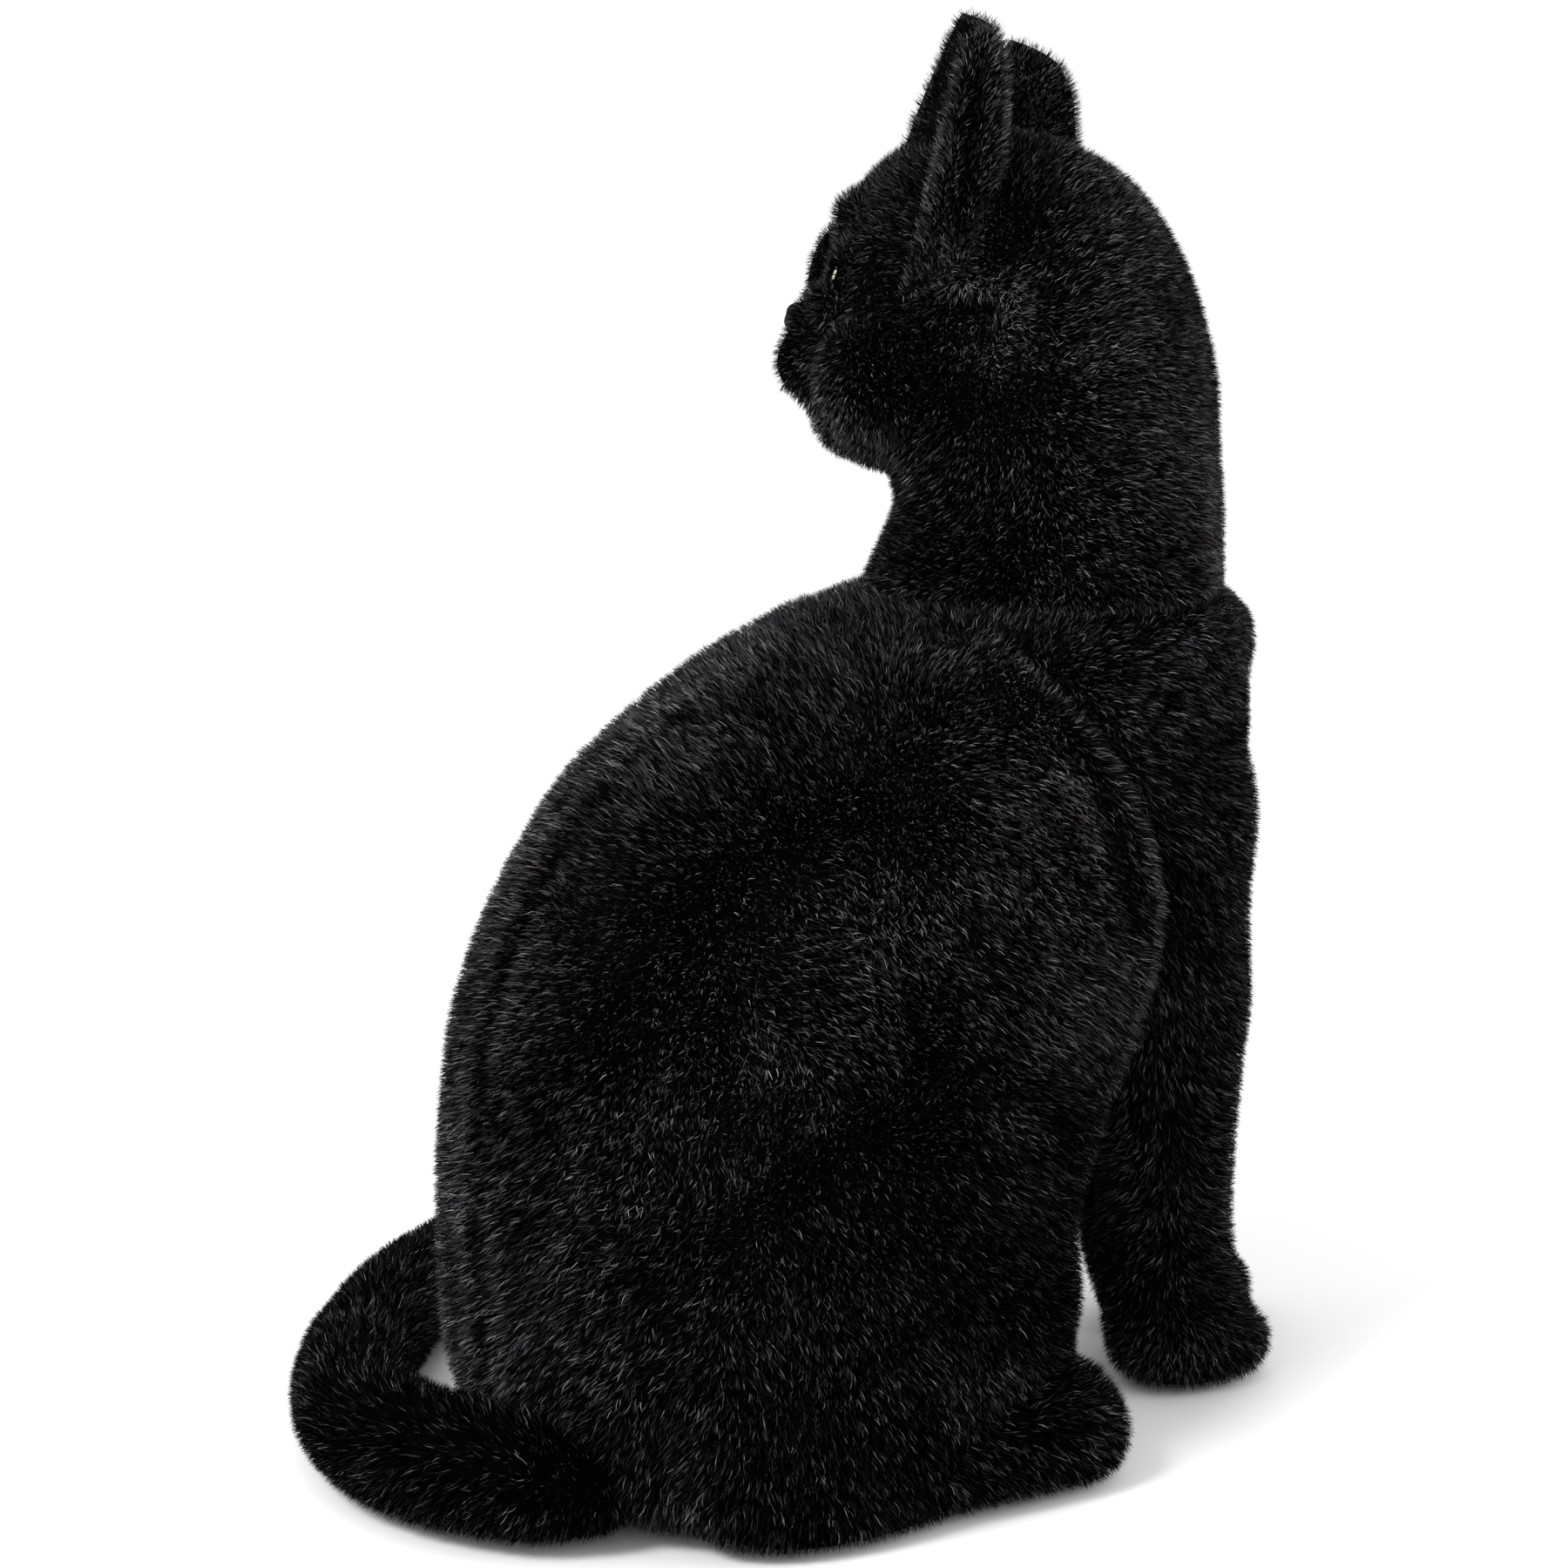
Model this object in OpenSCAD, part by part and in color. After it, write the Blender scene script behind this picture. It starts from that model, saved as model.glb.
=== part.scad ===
// Sitting plush cat, life-like, with a swivel head, a swinging tail and soft folding ears.
// Frame: origin at the middle of the seat panel, -Y is the way the chest faces, +X the cat's left, +Z up.

/* [Fabric] */
// Thickness of the pile fabric with its backing
fabric = 2; // [1.5:0.1:2.5]
// Gap left between pieces that move past each other
gap = 0.4; // [0.3:0.05:0.8]

/* [Body] */
// Height of the neck joint above the floor
joint_height = 240; // [236:1:244]
// Radius of the neck where it meets the body
neck_radius = 50; // [46:1:54]
// Distance from the middle of the seat to the neck, towards the chest
neck_forward = 103; // [100:1:106]
// Radius of the flat seat panel
seat_radius = 40; // [30:1:44]
// Distance of each thigh's centre from the midline
haunch_out = 50; // [46:1:54]
// Half the thickness of a thigh, side to side
haunch_half = 27; // [23:1:29]

/* [Legs] */
// Distance of each foreleg from the midline at the paw
paw_out = 20.5; // [20:0.5:26]
// Distance of each foreleg from the midline at the shoulder
shoulder_out = 36; // [32:1:38]
// How far the left forepaw stands ahead of the right one
step_ahead = 31; // [0:1:40]
// Distance of each hind foot from the midline
foot_out = 56; // [52:1:58]

/* [Head] */
// Angle by which the head is turned to the left of the chest
head_turn = 123; // [90:1:135]
// Sideways tilt of the head
head_tilt = 10; // [0:1:12]
// Radius of the eye domes
eye_radius = 7; // [6:0.5:8]
// Distance of each eye from the head's midline
eye_out = 25; // [22:1:28]

/* [Neck joint] */
// Radius of the two hardboard discs
disc_radius = 36; // [30:1:40]
// Thickness of each disc
disc_thick = 3; // [2:0.5:4]
// Radius of the joint bolt
bolt_radius = 3; // [2.5:0.5:4]
// Radial running clearance round the bolt
bolt_play = 0.05; // [0.02:0.01:0.09]

/* [Tail] */
// Radius of the tail near the rump
tail_radius = 17; // [16:1:19]
// Radius of the tail near its tip
tail_tip_radius = 13; // [11:1:15]

/* [Hidden] */

pile_black = [0.06, 0.06, 0.07];
lining_grey = [0.16, 0.15, 0.15];
wadding_white = [0.9, 0.9, 0.87];
roundness = 2.3;      // exponent of the body's cross-sections, 2 is an ellipse
small_fn = 32;
round_fn = 64;
joint_top = joint_height + gap / 2;
joint_bottom = joint_height - gap / 2;
head_pivot = 300;     // height about which the head tilts
tilt_start = 262;     // heights between which the neck takes up the tilt
tilt_end = 300;
washer_radius = 9;
washer_thick = 1.5;
nut_radius = 6;
nut_thick = 5;
bag_radius = 21;
bag_height = 40;
eye_height = 325;
eye_forward = 53.5;
eye_turn = 12;        // how far each eye looks out to its side
eye_raise = 6;        // how far it looks up
eye_stem_radius = 2.4;
eye_stem = 17;
ear_gap = 0.9;
far = 400;            // larger than the whole cat

// Each body row is [height, back, front, half width]: back and front are distances along Y.
body_rows = [
  [2, 56, -34, 48], [12, 70, -48, 61], [32, 79, -64, 67], [62, 84, -80, 70], [98, 85, -104, 71],
  [132, 81, -130, 70], [162, 70, -148, 68], [192, 49, -160, 65], [216, 17, -163, 61],
  [230, -12, -167, 56], [joint_bottom, -neck_forward + neck_radius, -neck_forward - neck_radius, neck_radius]
];
// Each thigh row is [height, back, front, share of the half thickness].
haunch_rows = [
  [0.5, 34, -30, 0.66], [8, 47, -46, 0.88], [26, 57, -66, 0.97], [50, 62, -73, 1.03], [76, 60, -72, 1.03],
  [102, 50, -79, 0.98], [122, 32, -74, 0.82], [136, 6, -54, 0.56], [142, -14, -36, 0.22]
];
// Each foot row is [distance along Y, height of the middle, half height, half width].
foot_rows = [
  [12, 18, 9, 9], [4, 19, 15, 15], [-22, 19, 18.5, 18], [-52, 18.5, 18.5, 19], [-66, 17, 17, 18],
  [-75.5, 15, 13, 13], [-80, 14, 6, 7]
];
// Each foreleg row is [height, middle along Y, half depth, half width].
foreleg_rows = [
  [0.5, -147, 15, 12], [5, -147, 22, 17.5], [13, -146.5, 24, 19.5], [22, -142.5, 21, 19],
  [34, -138.5, 18, 18], [60, -136, 17.5, 18], [92, -132.5, 20, 18.5], [122, -124.5, 26, 21],
  [152, -116, 28.5, 23], [178, -113.5, 31.5, 23], [198, -111, 30, 20], [210, -107, 17, 11]
];
// Each head row is [height, back, front, half width] about the neck's own axis.
head_rows = [
  [joint_top, neck_radius, -neck_radius, neck_radius], [250, 49, -45, 48.5], [264, 48.5, -39.5, 46],
  [276, 48, -42, 46], [290, 46.5, -51, 48], [304, 44.5, -57, 49.5], [318, 40.5, -60.5, 49],
  [331, 35.5, -60.5, 46.5], [343, 28.5, -56, 42], [353, 20, -51, 36], [361, 10, -44, 27], [366, -2, -32, 13]
];
// Each muzzle row is [distance ahead of the neck axis, height of the middle, half height, half width].
muzzle_rows = [
  [36, 305, 21.5, 25], [46, 305.5, 24, 29], [56, 306, 23.5, 27], [64.5, 306, 20.5, 22.5], [70, 306, 17.5, 18.5],
  [74, 307, 12.5, 13], [76, 308, 6, 5]
];
// The tail's middle line, from the rump round the left side of the body.
tail_path = [
  [-22, 69, 21], [-15, 82, 20.5], [5, 93.5, 19.5], [25, 97.5, 18.5], [49, 96, 18], [71, 87, 17],
  [92, 74.5, 16.5], [110, 59, 16], [129, 40, 15.5], [146, 19, 15], [160, -1, 14.5]
];
tail_play = 1.6;      // room between the tail and the body it lies against
slack = 0.3;          // room round a hard piece bedded in the filling

ear_inner = [17, -42, 361];
ear_outer = [46, -25, 330];
ear_tip = [28, -22, 394];
ear_cup = 24;
ear_bow = [0.2, 0.98, 0];   // the way the cup of the ear bulges

// ---------- lofting ----------
function blend_row(a, b, c, d, t) =
  0.5 * (2 * b + (c - a) * t + (2 * a - 5 * b + 4 * c - d) * t * t + (3 * b - a - 3 * c + d) * t * t * t);
function smooth_rows(rows, steps) = [
  for (i = [0:len(rows) - 2]) for (s = [0:steps - 1])
    blend_row(rows[max(i - 1, 0)], rows[i], rows[i + 1], rows[min(i + 2, len(rows) - 1)], s / steps),
  rows[len(rows) - 1]
];
function bent(v, power) = sign(v) * pow(abs(v), 2 / power);
function oval(n, power) = [for (i = [0:n - 1]) [bent(cos(360 * i / n), power), bent(sin(360 * i / n), power)]];
function ease(low, high, v) = let (t = min(max((v - low) / (high - low), 0), 1)) t * t * (3 - 2 * t);

// Joins rings of points, each counter-clockwise seen from the last ring, into one closed solid.
// The rings of a thin curved layer run out and back, and its two ends are closed across the layer.
module loft(rings, layer = false) {
  n = len(rings[0]);
  m = len(rings);
  sides = [for (j = [0:m - 2]) for (i = [0:n - 1])
    [j * n + i, (j + 1) * n + i, (j + 1) * n + (i + 1) % n, j * n + (i + 1) % n]];
  first = layer ? [for (i = [0:n / 2 - 2]) [i, i + 1, n - 2 - i, n - 1 - i]] : [[for (i = [0:n - 1]) i]];
  last = [for (f = first) [for (k = [len(f) - 1:-1:0]) (m - 1) * n + f[k]]];
  polyhedron(points = [for (r = rings) each r], faces = concat(sides, first, last), convexity = 6);
}
// Marks a soft shape as one evaluated mesh, at its own size.
module soft() {
  resize([0, 0, 0]) children();
}
module mirrored(side) {
  if (side > 0) children();
  else mirror([1, 0, 0]) children();
}

// ---------- body ----------
module body_form(inset) {
  rows = [for (r = smooth_rows(body_rows, inset > 0 ? 1 : 2))
    [max(r[0], 2 + inset), r[1] - inset, r[2] + inset, r[3] - inset]];
  top = joint_bottom - inset;
  shape = [for (r = rows) [min(r[0], top), r[1], r[2], r[3]]];
  kept = [for (i = [0:len(shape) - 1]) if (i == 0 || shape[i][0] > shape[i - 1][0] + 0.01) shape[i]];
  loft([for (r = kept)
    let (power = 2 + (roundness - 2) * (1 - ease(200, joint_bottom - fabric, r[0])), ring = oval(20, power))
    [for (p = ring) [p[0] * r[3], (r[1] + r[2]) / 2 + p[1] * (r[1] - r[2]) / 2, r[0]]]]);
}
module haunch_form(side, inset) {
  rows = smooth_rows(haunch_rows, 2);
  count = len(rows) - 1;
  mirrored(side) loft([for (i = [0:count]) let (r = rows[i], rise = i == 0 ? inset : i == count ? -inset : 0)
    [for (p = oval(16, 2.1)) [
      haunch_out + p[0] * max(haunch_half * r[3] - inset, 1),
      (r[1] + r[2]) / 2 + p[1] * max((r[1] - r[2]) / 2 - inset, 1),
      r[0] + rise]]]);
}
module foot_form(side, inset) {
  mirrored(side) loft([for (r = smooth_rows(foot_rows, 1))
    [for (p = oval(12, 2.2)) [
      foot_out + 0.06 * (12 - r[0]) + p[0] * (r[3] - inset),
      r[0] + (r[0] > -40 ? -inset : inset),
      max(r[1] + p[1] * (r[2] - inset), inset + 0.2)]]]);
}
function stride(side, z) = side > 0 ? -step_ahead * (1 - ease(-60, 196, z)) / (1 - ease(-60, 196, 0)) : 0;
module foreleg_form(side, inset) {
  rows = smooth_rows(foreleg_rows, 1);
  count = len(rows) - 1;
  mirrored(side) loft([for (i = [0:count])
    let (r = rows[i], rise = i == 0 ? inset : 0,
      out = paw_out + (shoulder_out - paw_out) * ease(50, 190, r[0]))
    [for (p = oval(16, 2.1)) [
      out + p[0] * (r[3] - inset), r[1] + stride(side, r[0]) + p[1] * (r[2] - inset), r[0] + rise]]]);
}
module limbs() {
  for (side = [-1, 1]) {
    haunch_form(side, 0);
    foreleg_form(side, 0);
  }
  tail_form(-tail_play);
}
module behind_seam() {
  rotate([90, 0, 90]) linear_extrude(2 * far, center = true) polygon([
    [far, -1], [-86, -1], [-86, 100], [-100, 140], [-98, 165], [-84, 196], [-64, 222], [-50, joint_height],
    [far, joint_height]]);
}
module half_space(side) {
  mirrored(side) translate([0, -far, -far]) cube(2 * far);
}
module joint_hole(radius) {
  translate([0, -neck_forward, joint_height - 30]) cylinder(h = 60, r = radius, $fn = small_fn);
}
module body_skin() {
  difference() {
    body_form(0);
    body_form(fabric);
    limbs();
    joint_hole(bolt_radius + gap);
  }
}
module back_panel(side) {
  color(pile_black) soft() intersection() {
    body_skin();
    behind_seam();
    half_space(side);
  }
}
module chest_panel() {
  color(pile_black) soft() difference() {
    body_skin();
    behind_seam();
  }
}
module body_disc_space() {
  at_neck(joint_bottom - fabric - 20) cylinder(h = 20, r = disc_radius + slack, $fn = small_fn);
}
module pellet_bag_form(room, fn) {
  radius = bag_radius + room;
  height = bag_height + room;
  translate([0, 0, 2 + fabric]) rotate_extrude($fn = fn) intersection() {
    union() {
      square([radius, height - radius / 2]);
      translate([0, height - radius / 2]) scale([1, 0.5]) circle(r = radius, $fn = fn);
    }
    square([radius, height]);
  }
}
module body_stuffing() {
  color(wadding_white) soft() difference() {
    body_form(fabric);
    limbs();
    body_disc_space();
    pellet_bag_form(2 * slack, small_fn);
  }
}
module pellet_bag() {
  color("tan") pellet_bag_form(0, round_fn);
}
module seat_panel() {
  color(pile_black) cylinder(h = 2, r = seat_radius, $fn = round_fn);
}
module haunch(side) {
  color(pile_black) soft() difference() {
    haunch_form(side, 0);
    haunch_form(side, fabric);
    foot_form(side, 0);
    tail_form(-tail_play);
    cylinder(h = 2, r = seat_radius + slack, $fn = small_fn);
  }
}
module haunch_stuffing(side) {
  color(wadding_white) soft() difference() {
    haunch_form(side, fabric);
    foot_form(side, 0);
    tail_form(-tail_play);
  }
}
module hind_foot(side) {
  color(pile_black) soft() foot_form(side, 0);
}
module foreleg(side) {
  color(pile_black) soft() difference() {
    foreleg_form(side, 0);
    foreleg_form(side, fabric);
  }
}
module foreleg_stuffing(side) {
  color(wadding_white) soft() foreleg_form(side, fabric);
}

// ---------- tail ----------
function heading(path, i) =
  let (d = path[min(i + 1, len(path) - 1)] - path[max(i - 1, 0)]) d / norm(d);
module tail_form(inset) {
  path = smooth_rows(tail_path, inset > 0 ? 1 : 2);
  count = len(path) - 1;
  cap = [0.93, 0.72, 0.4];
  body = [for (i = [0:count])
    [path[i], heading(path, i), tail_radius + (tail_tip_radius - tail_radius) * i / count - inset]];
  tip = [for (k = [0:2]) let (h = heading(path, count), radius = tail_tip_radius - inset)
    [path[count] + h * radius * sin((k + 1) * 28), h, radius * cap[k]]];
  loft([for (s = concat(body, tip))
    let (side = cross(s[1], [0, 0, 1]) / norm(cross(s[1], [0, 0, 1])), up = cross(side, s[1]))
    [for (k = [0:13]) s[0] + s[2] * (cos(k * 360 / 14) * side - sin(k * 360 / 14) * up)]]);
  tail_root(-inset);
}
// The ball at the tail's root, about which it swings.
module tail_root(extra) {
  translate(tail_path[0]) sphere(r = tail_radius + extra, $fn = 16);
}
module tail_mouth() {
  translate(tail_path[0] - [0, tail_radius, 0]) sphere(r = tail_radius / 2, $fn = 12);
}
module tail_skin() {
  color(pile_black) soft() difference() {
    tail_form(0);
    tail_form(fabric);
    tail_mouth();
  }
}
module tail_stuffing() {
  color(wadding_white) soft() tail_form(fabric);
}

// ---------- neck joint ----------
module at_neck(z) {
  translate([0, -neck_forward, z]) children();
}
module ring(height, outer, inner) {
  difference() {
    cylinder(h = height, r = outer, $fn = round_fn);
    translate([0, 0, -1]) cylinder(h = height + 2, r = inner, $fn = round_fn);
  }
}
disc_low = joint_bottom - fabric - disc_thick;
washer_low = disc_low - gap - washer_thick;
bolt_low = washer_low - nut_thick - 2;
bolt_top = joint_top + fabric + disc_thick;
module body_disc() {
  color("peru") at_neck(disc_low) ring(disc_thick, disc_radius, bolt_radius + bolt_play);
}
module head_disc() {
  color("peru") at_neck(joint_top + fabric) ring(disc_thick, disc_radius, bolt_radius);
}
module joint_bolt() {
  color("silver") {
    at_neck(bolt_low) cylinder(h = bolt_top - bolt_low, r = bolt_radius, $fn = round_fn);
    at_neck(bolt_top) cylinder(h = 3, r = 2 * bolt_radius, $fn = 6);
  }
}
module joint_washer() {
  color("silver") at_neck(washer_low) ring(washer_thick, washer_radius, bolt_radius);
}
module joint_nut() {
  color("silver") at_neck(washer_low - nut_thick) difference() {
    cylinder(h = nut_thick, r = nut_radius, $fn = 6);
    translate([0, 0, -1]) cylinder(h = nut_thick + 2, r = bolt_radius, $fn = round_fn);
  }
}

// ---------- head ----------
// Places what is drawn facing -Y about the neck axis into the head's turned frame.
module turned() {
  translate([0, -neck_forward, 0]) rotate([0, 0, head_turn]) children();
}
module tilted() {
  turned() translate([0, 0, head_pivot]) rotate([0, -head_tilt, 0]) translate([0, 0, -head_pivot]) children();
}
function lean(p) = let (
    a = -head_tilt * ease(tilt_start, tilt_end, p[2]),
    z = p[2] - head_pivot)
  [p[0] * cos(a) + z * sin(a), p[1], head_pivot - p[0] * sin(a) + z * cos(a)];
module head_form(inset) {
  rows = [for (r = smooth_rows(head_rows, inset > 0 ? 1 : 2))
    [max(r[0], joint_top + inset), max(r[1] - inset, r[2] + inset + 1), r[2] + inset, max(r[3] - inset, 1)]];
  count = len(rows) - 1;
  kept = [for (i = [0:count]) if (i == 0 || rows[i][0] > rows[i - 1][0] + 0.01) rows[i]];
  last = len(kept) - 1;
  turned() loft([for (i = [0:last]) let (r = kept[i], z = i == last ? r[0] - inset : r[0])
    [for (p = oval(20, 2 + 0.3 * ease(270, 300, z)))
      lean([p[0] * r[3], (r[1] + r[2]) / 2 + p[1] * (r[1] - r[2]) / 2, z])]]);
}
module muzzle_form(inset) {
  tilted() loft([for (r = smooth_rows(muzzle_rows, 1))
    [for (p = oval(16, 2.2)) [
      p[0] * max(r[3] - inset, 1), -r[0] + inset, r[1] + p[1] * max(r[2] - inset, 1)]]]);
}
// The eye's own frame: +Z out along its stem, origin on the skin.
module at_eye(side) {
  tilted() mirrored(side) translate([eye_out, -eye_forward, eye_height])
    rotate([90 - eye_raise, 0, eye_turn]) children();
}
module eye_space(side) {
  at_eye(side) {
    translate([0, 0, -2.5]) cylinder(h = 20, r = eye_radius + slack, $fn = small_fn);
    translate([0, 0, -eye_stem - slack]) cylinder(h = 20, r = eye_stem_radius + slack, $fn = small_fn);
  }
}
module eye_washer_space(side) {
  at_eye(side) translate([0, 0, -8 - slack])
    cylinder(h = 2 + 2 * slack, r = eye_radius + 2 + slack, $fn = small_fn);
}
module eye_spaces() {
  for (side = [-1, 1]) eye_space(side);
}
module eye_washer_spaces() {
  for (side = [-1, 1]) eye_washer_space(side);
}
module head_skin() {
  difference() {
    head_form(0);
    head_form(fabric);
    muzzle_form(0);
    nose_form();
    eye_spaces();
    joint_hole(bolt_radius + gap);
  }
}
module head_panel(side) {
  color(pile_black) soft() intersection() {
    head_skin();
    turned() half_space(side);
  }
}
module head_stuffing() {
  color(wadding_white) soft() difference() {
    head_form(fabric);
    muzzle_form(0);
    eye_spaces();
    eye_washer_spaces();
    at_neck(joint_top) cylinder(h = fabric + disc_thick + slack, r = disc_radius + slack, $fn = small_fn);
    at_neck(bolt_top - 1) cylinder(h = 5, r = 2 * bolt_radius + 0.5, $fn = small_fn);
  }
}
module muzzle() {
  color(pile_black) soft() difference() {
    muzzle_form(0);
    nose_form();
    eye_spaces();
    eye_washer_spaces();
  }
}
module nose_form() {
  tilted() translate([0, -73, 316]) rotate([64, 0, 0]) linear_extrude(7, scale = 0.8)
    offset(r = 2, $fn = small_fn) polygon([[-5.5, 3], [5.5, 3], [0, -3.5]]);
}
module nose() {
  color([0.03, 0.03, 0.03]) nose_form();
}
module eye(side) {
  color([0.75, 0.74, 0.6]) at_eye(side) rotate_extrude($fn = round_fn) intersection() {
    union() {
      translate([0, -2.5]) scale([1, 0.8]) circle(r = eye_radius, $fn = round_fn);
      translate([0, -eye_stem]) square([eye_stem_radius, eye_stem]);
    }
    union() {
      translate([0, -2.5]) square([eye_radius, 20]);
      translate([0, -eye_stem]) square([eye_stem_radius, eye_stem]);
    }
  }
}
module eye_washer(side) {
  color("ivory") at_eye(side) translate([0, 0, -8]) ring(2, eye_radius + 2, eye_stem_radius);
}

// ---------- ears ----------
ear_span = ear_outer - ear_inner;
ear_rise = ear_tip - (ear_inner + ear_outer) / 2;
function ear_face(s, t) = let (
    middle = 0.5 - 0.06 * (1 - t),
    along = middle + (s - middle) * (1 - 0.25 * t - 0.44 * t * abs(t)))
  ear_inner + ear_span * along + ear_rise * t + ear_bow * ear_cup * 4 * s * (1 - s) * (1 - 0.66 * t);
function ear_point(s, t, lift) = let (
    d = 0.01,
    n = cross(ear_face(s + d, t) - ear_face(s - d, t), ear_face(s, t + d) - ear_face(s, t - d)))
  ear_face(s, t) - n / norm(n) * lift;
// One ear layer between two distances behind the ear's front face.
module ear_layer(side, low, high) {
  t_last = 0.97;
  tilted() mirrored(side) loft(layer = true, rings = [for (k = [-1:7]) let (t = t_last * k / 7)
    concat(
      [for (i = [0:6]) ear_point(i / 6, t, low)],
      [for (i = [6:-1:0]) ear_point(i / 6, t, high)])]);
}
module ear_part(side, low, high, tone) {
  color(tone) soft() difference() {
    ear_layer(side, low, high);
    head_form(-ear_gap);
    muzzle_form(-ear_gap);
  }
}
ear_front_thick = 1.5;

seat_panel();
back_panel(1);  // back_panel_left
back_panel(-1);  // back_panel_right
chest_panel();
body_stuffing();
pellet_bag();
haunch(1);  // haunch_left
haunch(-1);  // haunch_right
haunch_stuffing(1);  // haunch_stuffing_left
haunch_stuffing(-1);  // haunch_stuffing_right
hind_foot(1);  // hind_foot_left
hind_foot(-1);  // hind_foot_right
foreleg(1);  // foreleg_left
foreleg(-1);  // foreleg_right
foreleg_stuffing(1);  // foreleg_stuffing_left
foreleg_stuffing(-1);  // foreleg_stuffing_right
tail_skin();
tail_stuffing();
body_disc();
head_disc();
joint_bolt();
joint_washer();
joint_nut();
head_panel(1);  // head_panel_left
head_panel(-1);  // head_panel_right
head_stuffing();
muzzle();
nose();
ear_part(1, 0, fabric, pile_black);  // ear_back_left
ear_part(-1, 0, fabric, pile_black);  // ear_back_right
ear_part(1, -ear_front_thick, 0, lining_grey);  // ear_lining_left
ear_part(-1, -ear_front_thick, 0, lining_grey);  // ear_lining_right
eye(1);  // eye_left
eye(-1);  // eye_right
eye_washer(1);  // eye_washer_left
eye_washer(-1);  // eye_washer_right
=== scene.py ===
"""Sitting plush cat: sewn skins with a short standing pile, moulded eyes and nose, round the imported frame.

Every table and size here is in millimetres, in the part's frame, and turns to metres when a mesh is made.
"""
import math

import bpy
import numpy as np
from mathutils import Matrix, Vector
from mathutils.bvhtree import BVHTree


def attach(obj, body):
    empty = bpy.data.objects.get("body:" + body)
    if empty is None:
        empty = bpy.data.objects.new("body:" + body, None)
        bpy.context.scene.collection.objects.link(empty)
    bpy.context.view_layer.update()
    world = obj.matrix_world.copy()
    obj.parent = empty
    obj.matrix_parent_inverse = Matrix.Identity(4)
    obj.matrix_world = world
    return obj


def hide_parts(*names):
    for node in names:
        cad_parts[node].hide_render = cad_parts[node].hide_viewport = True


MM = 0.001

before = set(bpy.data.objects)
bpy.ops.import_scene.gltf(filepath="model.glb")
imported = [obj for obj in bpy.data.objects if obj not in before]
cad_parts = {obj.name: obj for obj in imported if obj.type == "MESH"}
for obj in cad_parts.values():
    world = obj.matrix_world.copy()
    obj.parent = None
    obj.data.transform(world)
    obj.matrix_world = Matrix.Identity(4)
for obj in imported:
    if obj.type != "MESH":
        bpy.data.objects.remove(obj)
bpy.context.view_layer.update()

# ---------- driving dimensions ----------
JOINT_HEIGHT = 240.0      # the plane where the head turns on the body
NECK_FORWARD = 103.0
HEAD_TURN = 123.0
HEAD_TILT = 10.0
TILT_PIVOT = 300.0
TILT_RANGE = (262.0, 300.0)
HAUNCH_OUT, HAUNCH_HALF = 50.0, 27.0
FOOT_OUT, FOOT_SPLAY, HEEL = 56.0, 0.06, 12.0
TOE_OUT, TOE_GAP = 5.4, 7.5     # the toes' middle beyond FOOT_OUT, and the space between the two toe seams
PAW_OUT, SHOULDER_OUT, STEP_AHEAD = 20.5, 36.0, 31.0
EYE_RADIUS, EYE_OUT, EYE_FORWARD, EYE_HEIGHT = 7.0, 25.0, 53.0, 322.5
EYE_TURN, EYE_RAISE = 12.0, 6.0
PUPIL_SQUEEZE = (3.6, 1.25, 0.0)
NOSE_FORWARD, NOSE_HEIGHT, NOSE_TILT = 76.0, 314.5, -24.0
NOSE_HALF_WIDTH, NOSE_HALF_HEIGHT, NOSE_HALF_DEPTH = 6.6, 4.6, 3.8
MUZZLE_START, MUZZLE_TOP = 56.0, 322.0
TAIL_RADIUS, TAIL_TIP_RADIUS = 17.0, 13.0
SKIN_VOXEL, FILLING_VOXEL = 2.2, 3.5
FILLING_GAP = 2.2         # how far a filling is drawn in from its CAD solid
JOINT_HOLD = 5.0          # how far from the joint's plane the skins keep their lofted shape
SIDES = {"left": 1, "right": -1}

# Rows are [height, back, front, half width], back and front along Y.
BODY_ROWS = [
    (2, 56, -34, 48), (12, 70, -48, 61), (32, 79, -64, 67), (62, 84, -80, 70), (98, 85, -104, 71),
    (132, 81, -130, 70), (162, 70, -148, 68), (192, 49, -160, 65), (216, 17, -163, 61),
    (230, -12, -167, 56), (239.8, -53, -153, 50),
]
# Rows are [height, back, front, share of the half thickness].
HAUNCH_ROWS = [
    (0.8, 34, -30, 0.66), (8, 47, -46, 0.88), (26, 57, -66, 0.97), (50, 62, -73, 1.03), (76, 60, -72, 1.03),
    (102, 50, -79, 0.98), (122, 32, -74, 0.82), (136, 6, -54, 0.56), (142, -14, -36, 0.22),
]
# Rows are [distance along Y, height of the middle, half height, half width].
FOOT_ROWS = [
    (12, 18, 9, 9), (4, 19, 15, 15), (-22, 19, 18.5, 18), (-52, 18.5, 18.5, 19), (-66, 17, 17, 18),
    (-75.5, 15, 13, 13), (-80, 14, 6, 7),
]
# Rows are [height, middle along Y, half depth, half width].
FORELEG_ROWS = [
    (0.8, -147, 15, 12), (5, -147, 22, 17.5), (13, -146.5, 24, 19.5), (22, -142.5, 21, 19),
    (34, -138.5, 18, 18), (60, -136, 17.5, 18), (92, -132.5, 20, 18.5), (122, -124.5, 26, 21),
    (152, -116, 28.5, 23), (178, -113.5, 31.5, 23), (198, -111, 30, 20), (210, -107, 17, 11),
]
# Rows are [height, back, front, half width] about the neck's axis.
HEAD_ROWS = [
    (240.2, 50, -50, 50), (250, 49, -45, 48.5), (264, 48.5, -39.5, 46), (276, 48, -42, 46),
    (290, 46.5, -51, 48), (304, 44.5, -57, 49.5), (318, 40.5, -60.5, 49), (331, 35.5, -60.5, 46.5),
    (343, 28.5, -56, 42), (353, 20, -51, 36), (361, 10, -44, 27), (366, -2, -32, 13),
]
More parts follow.
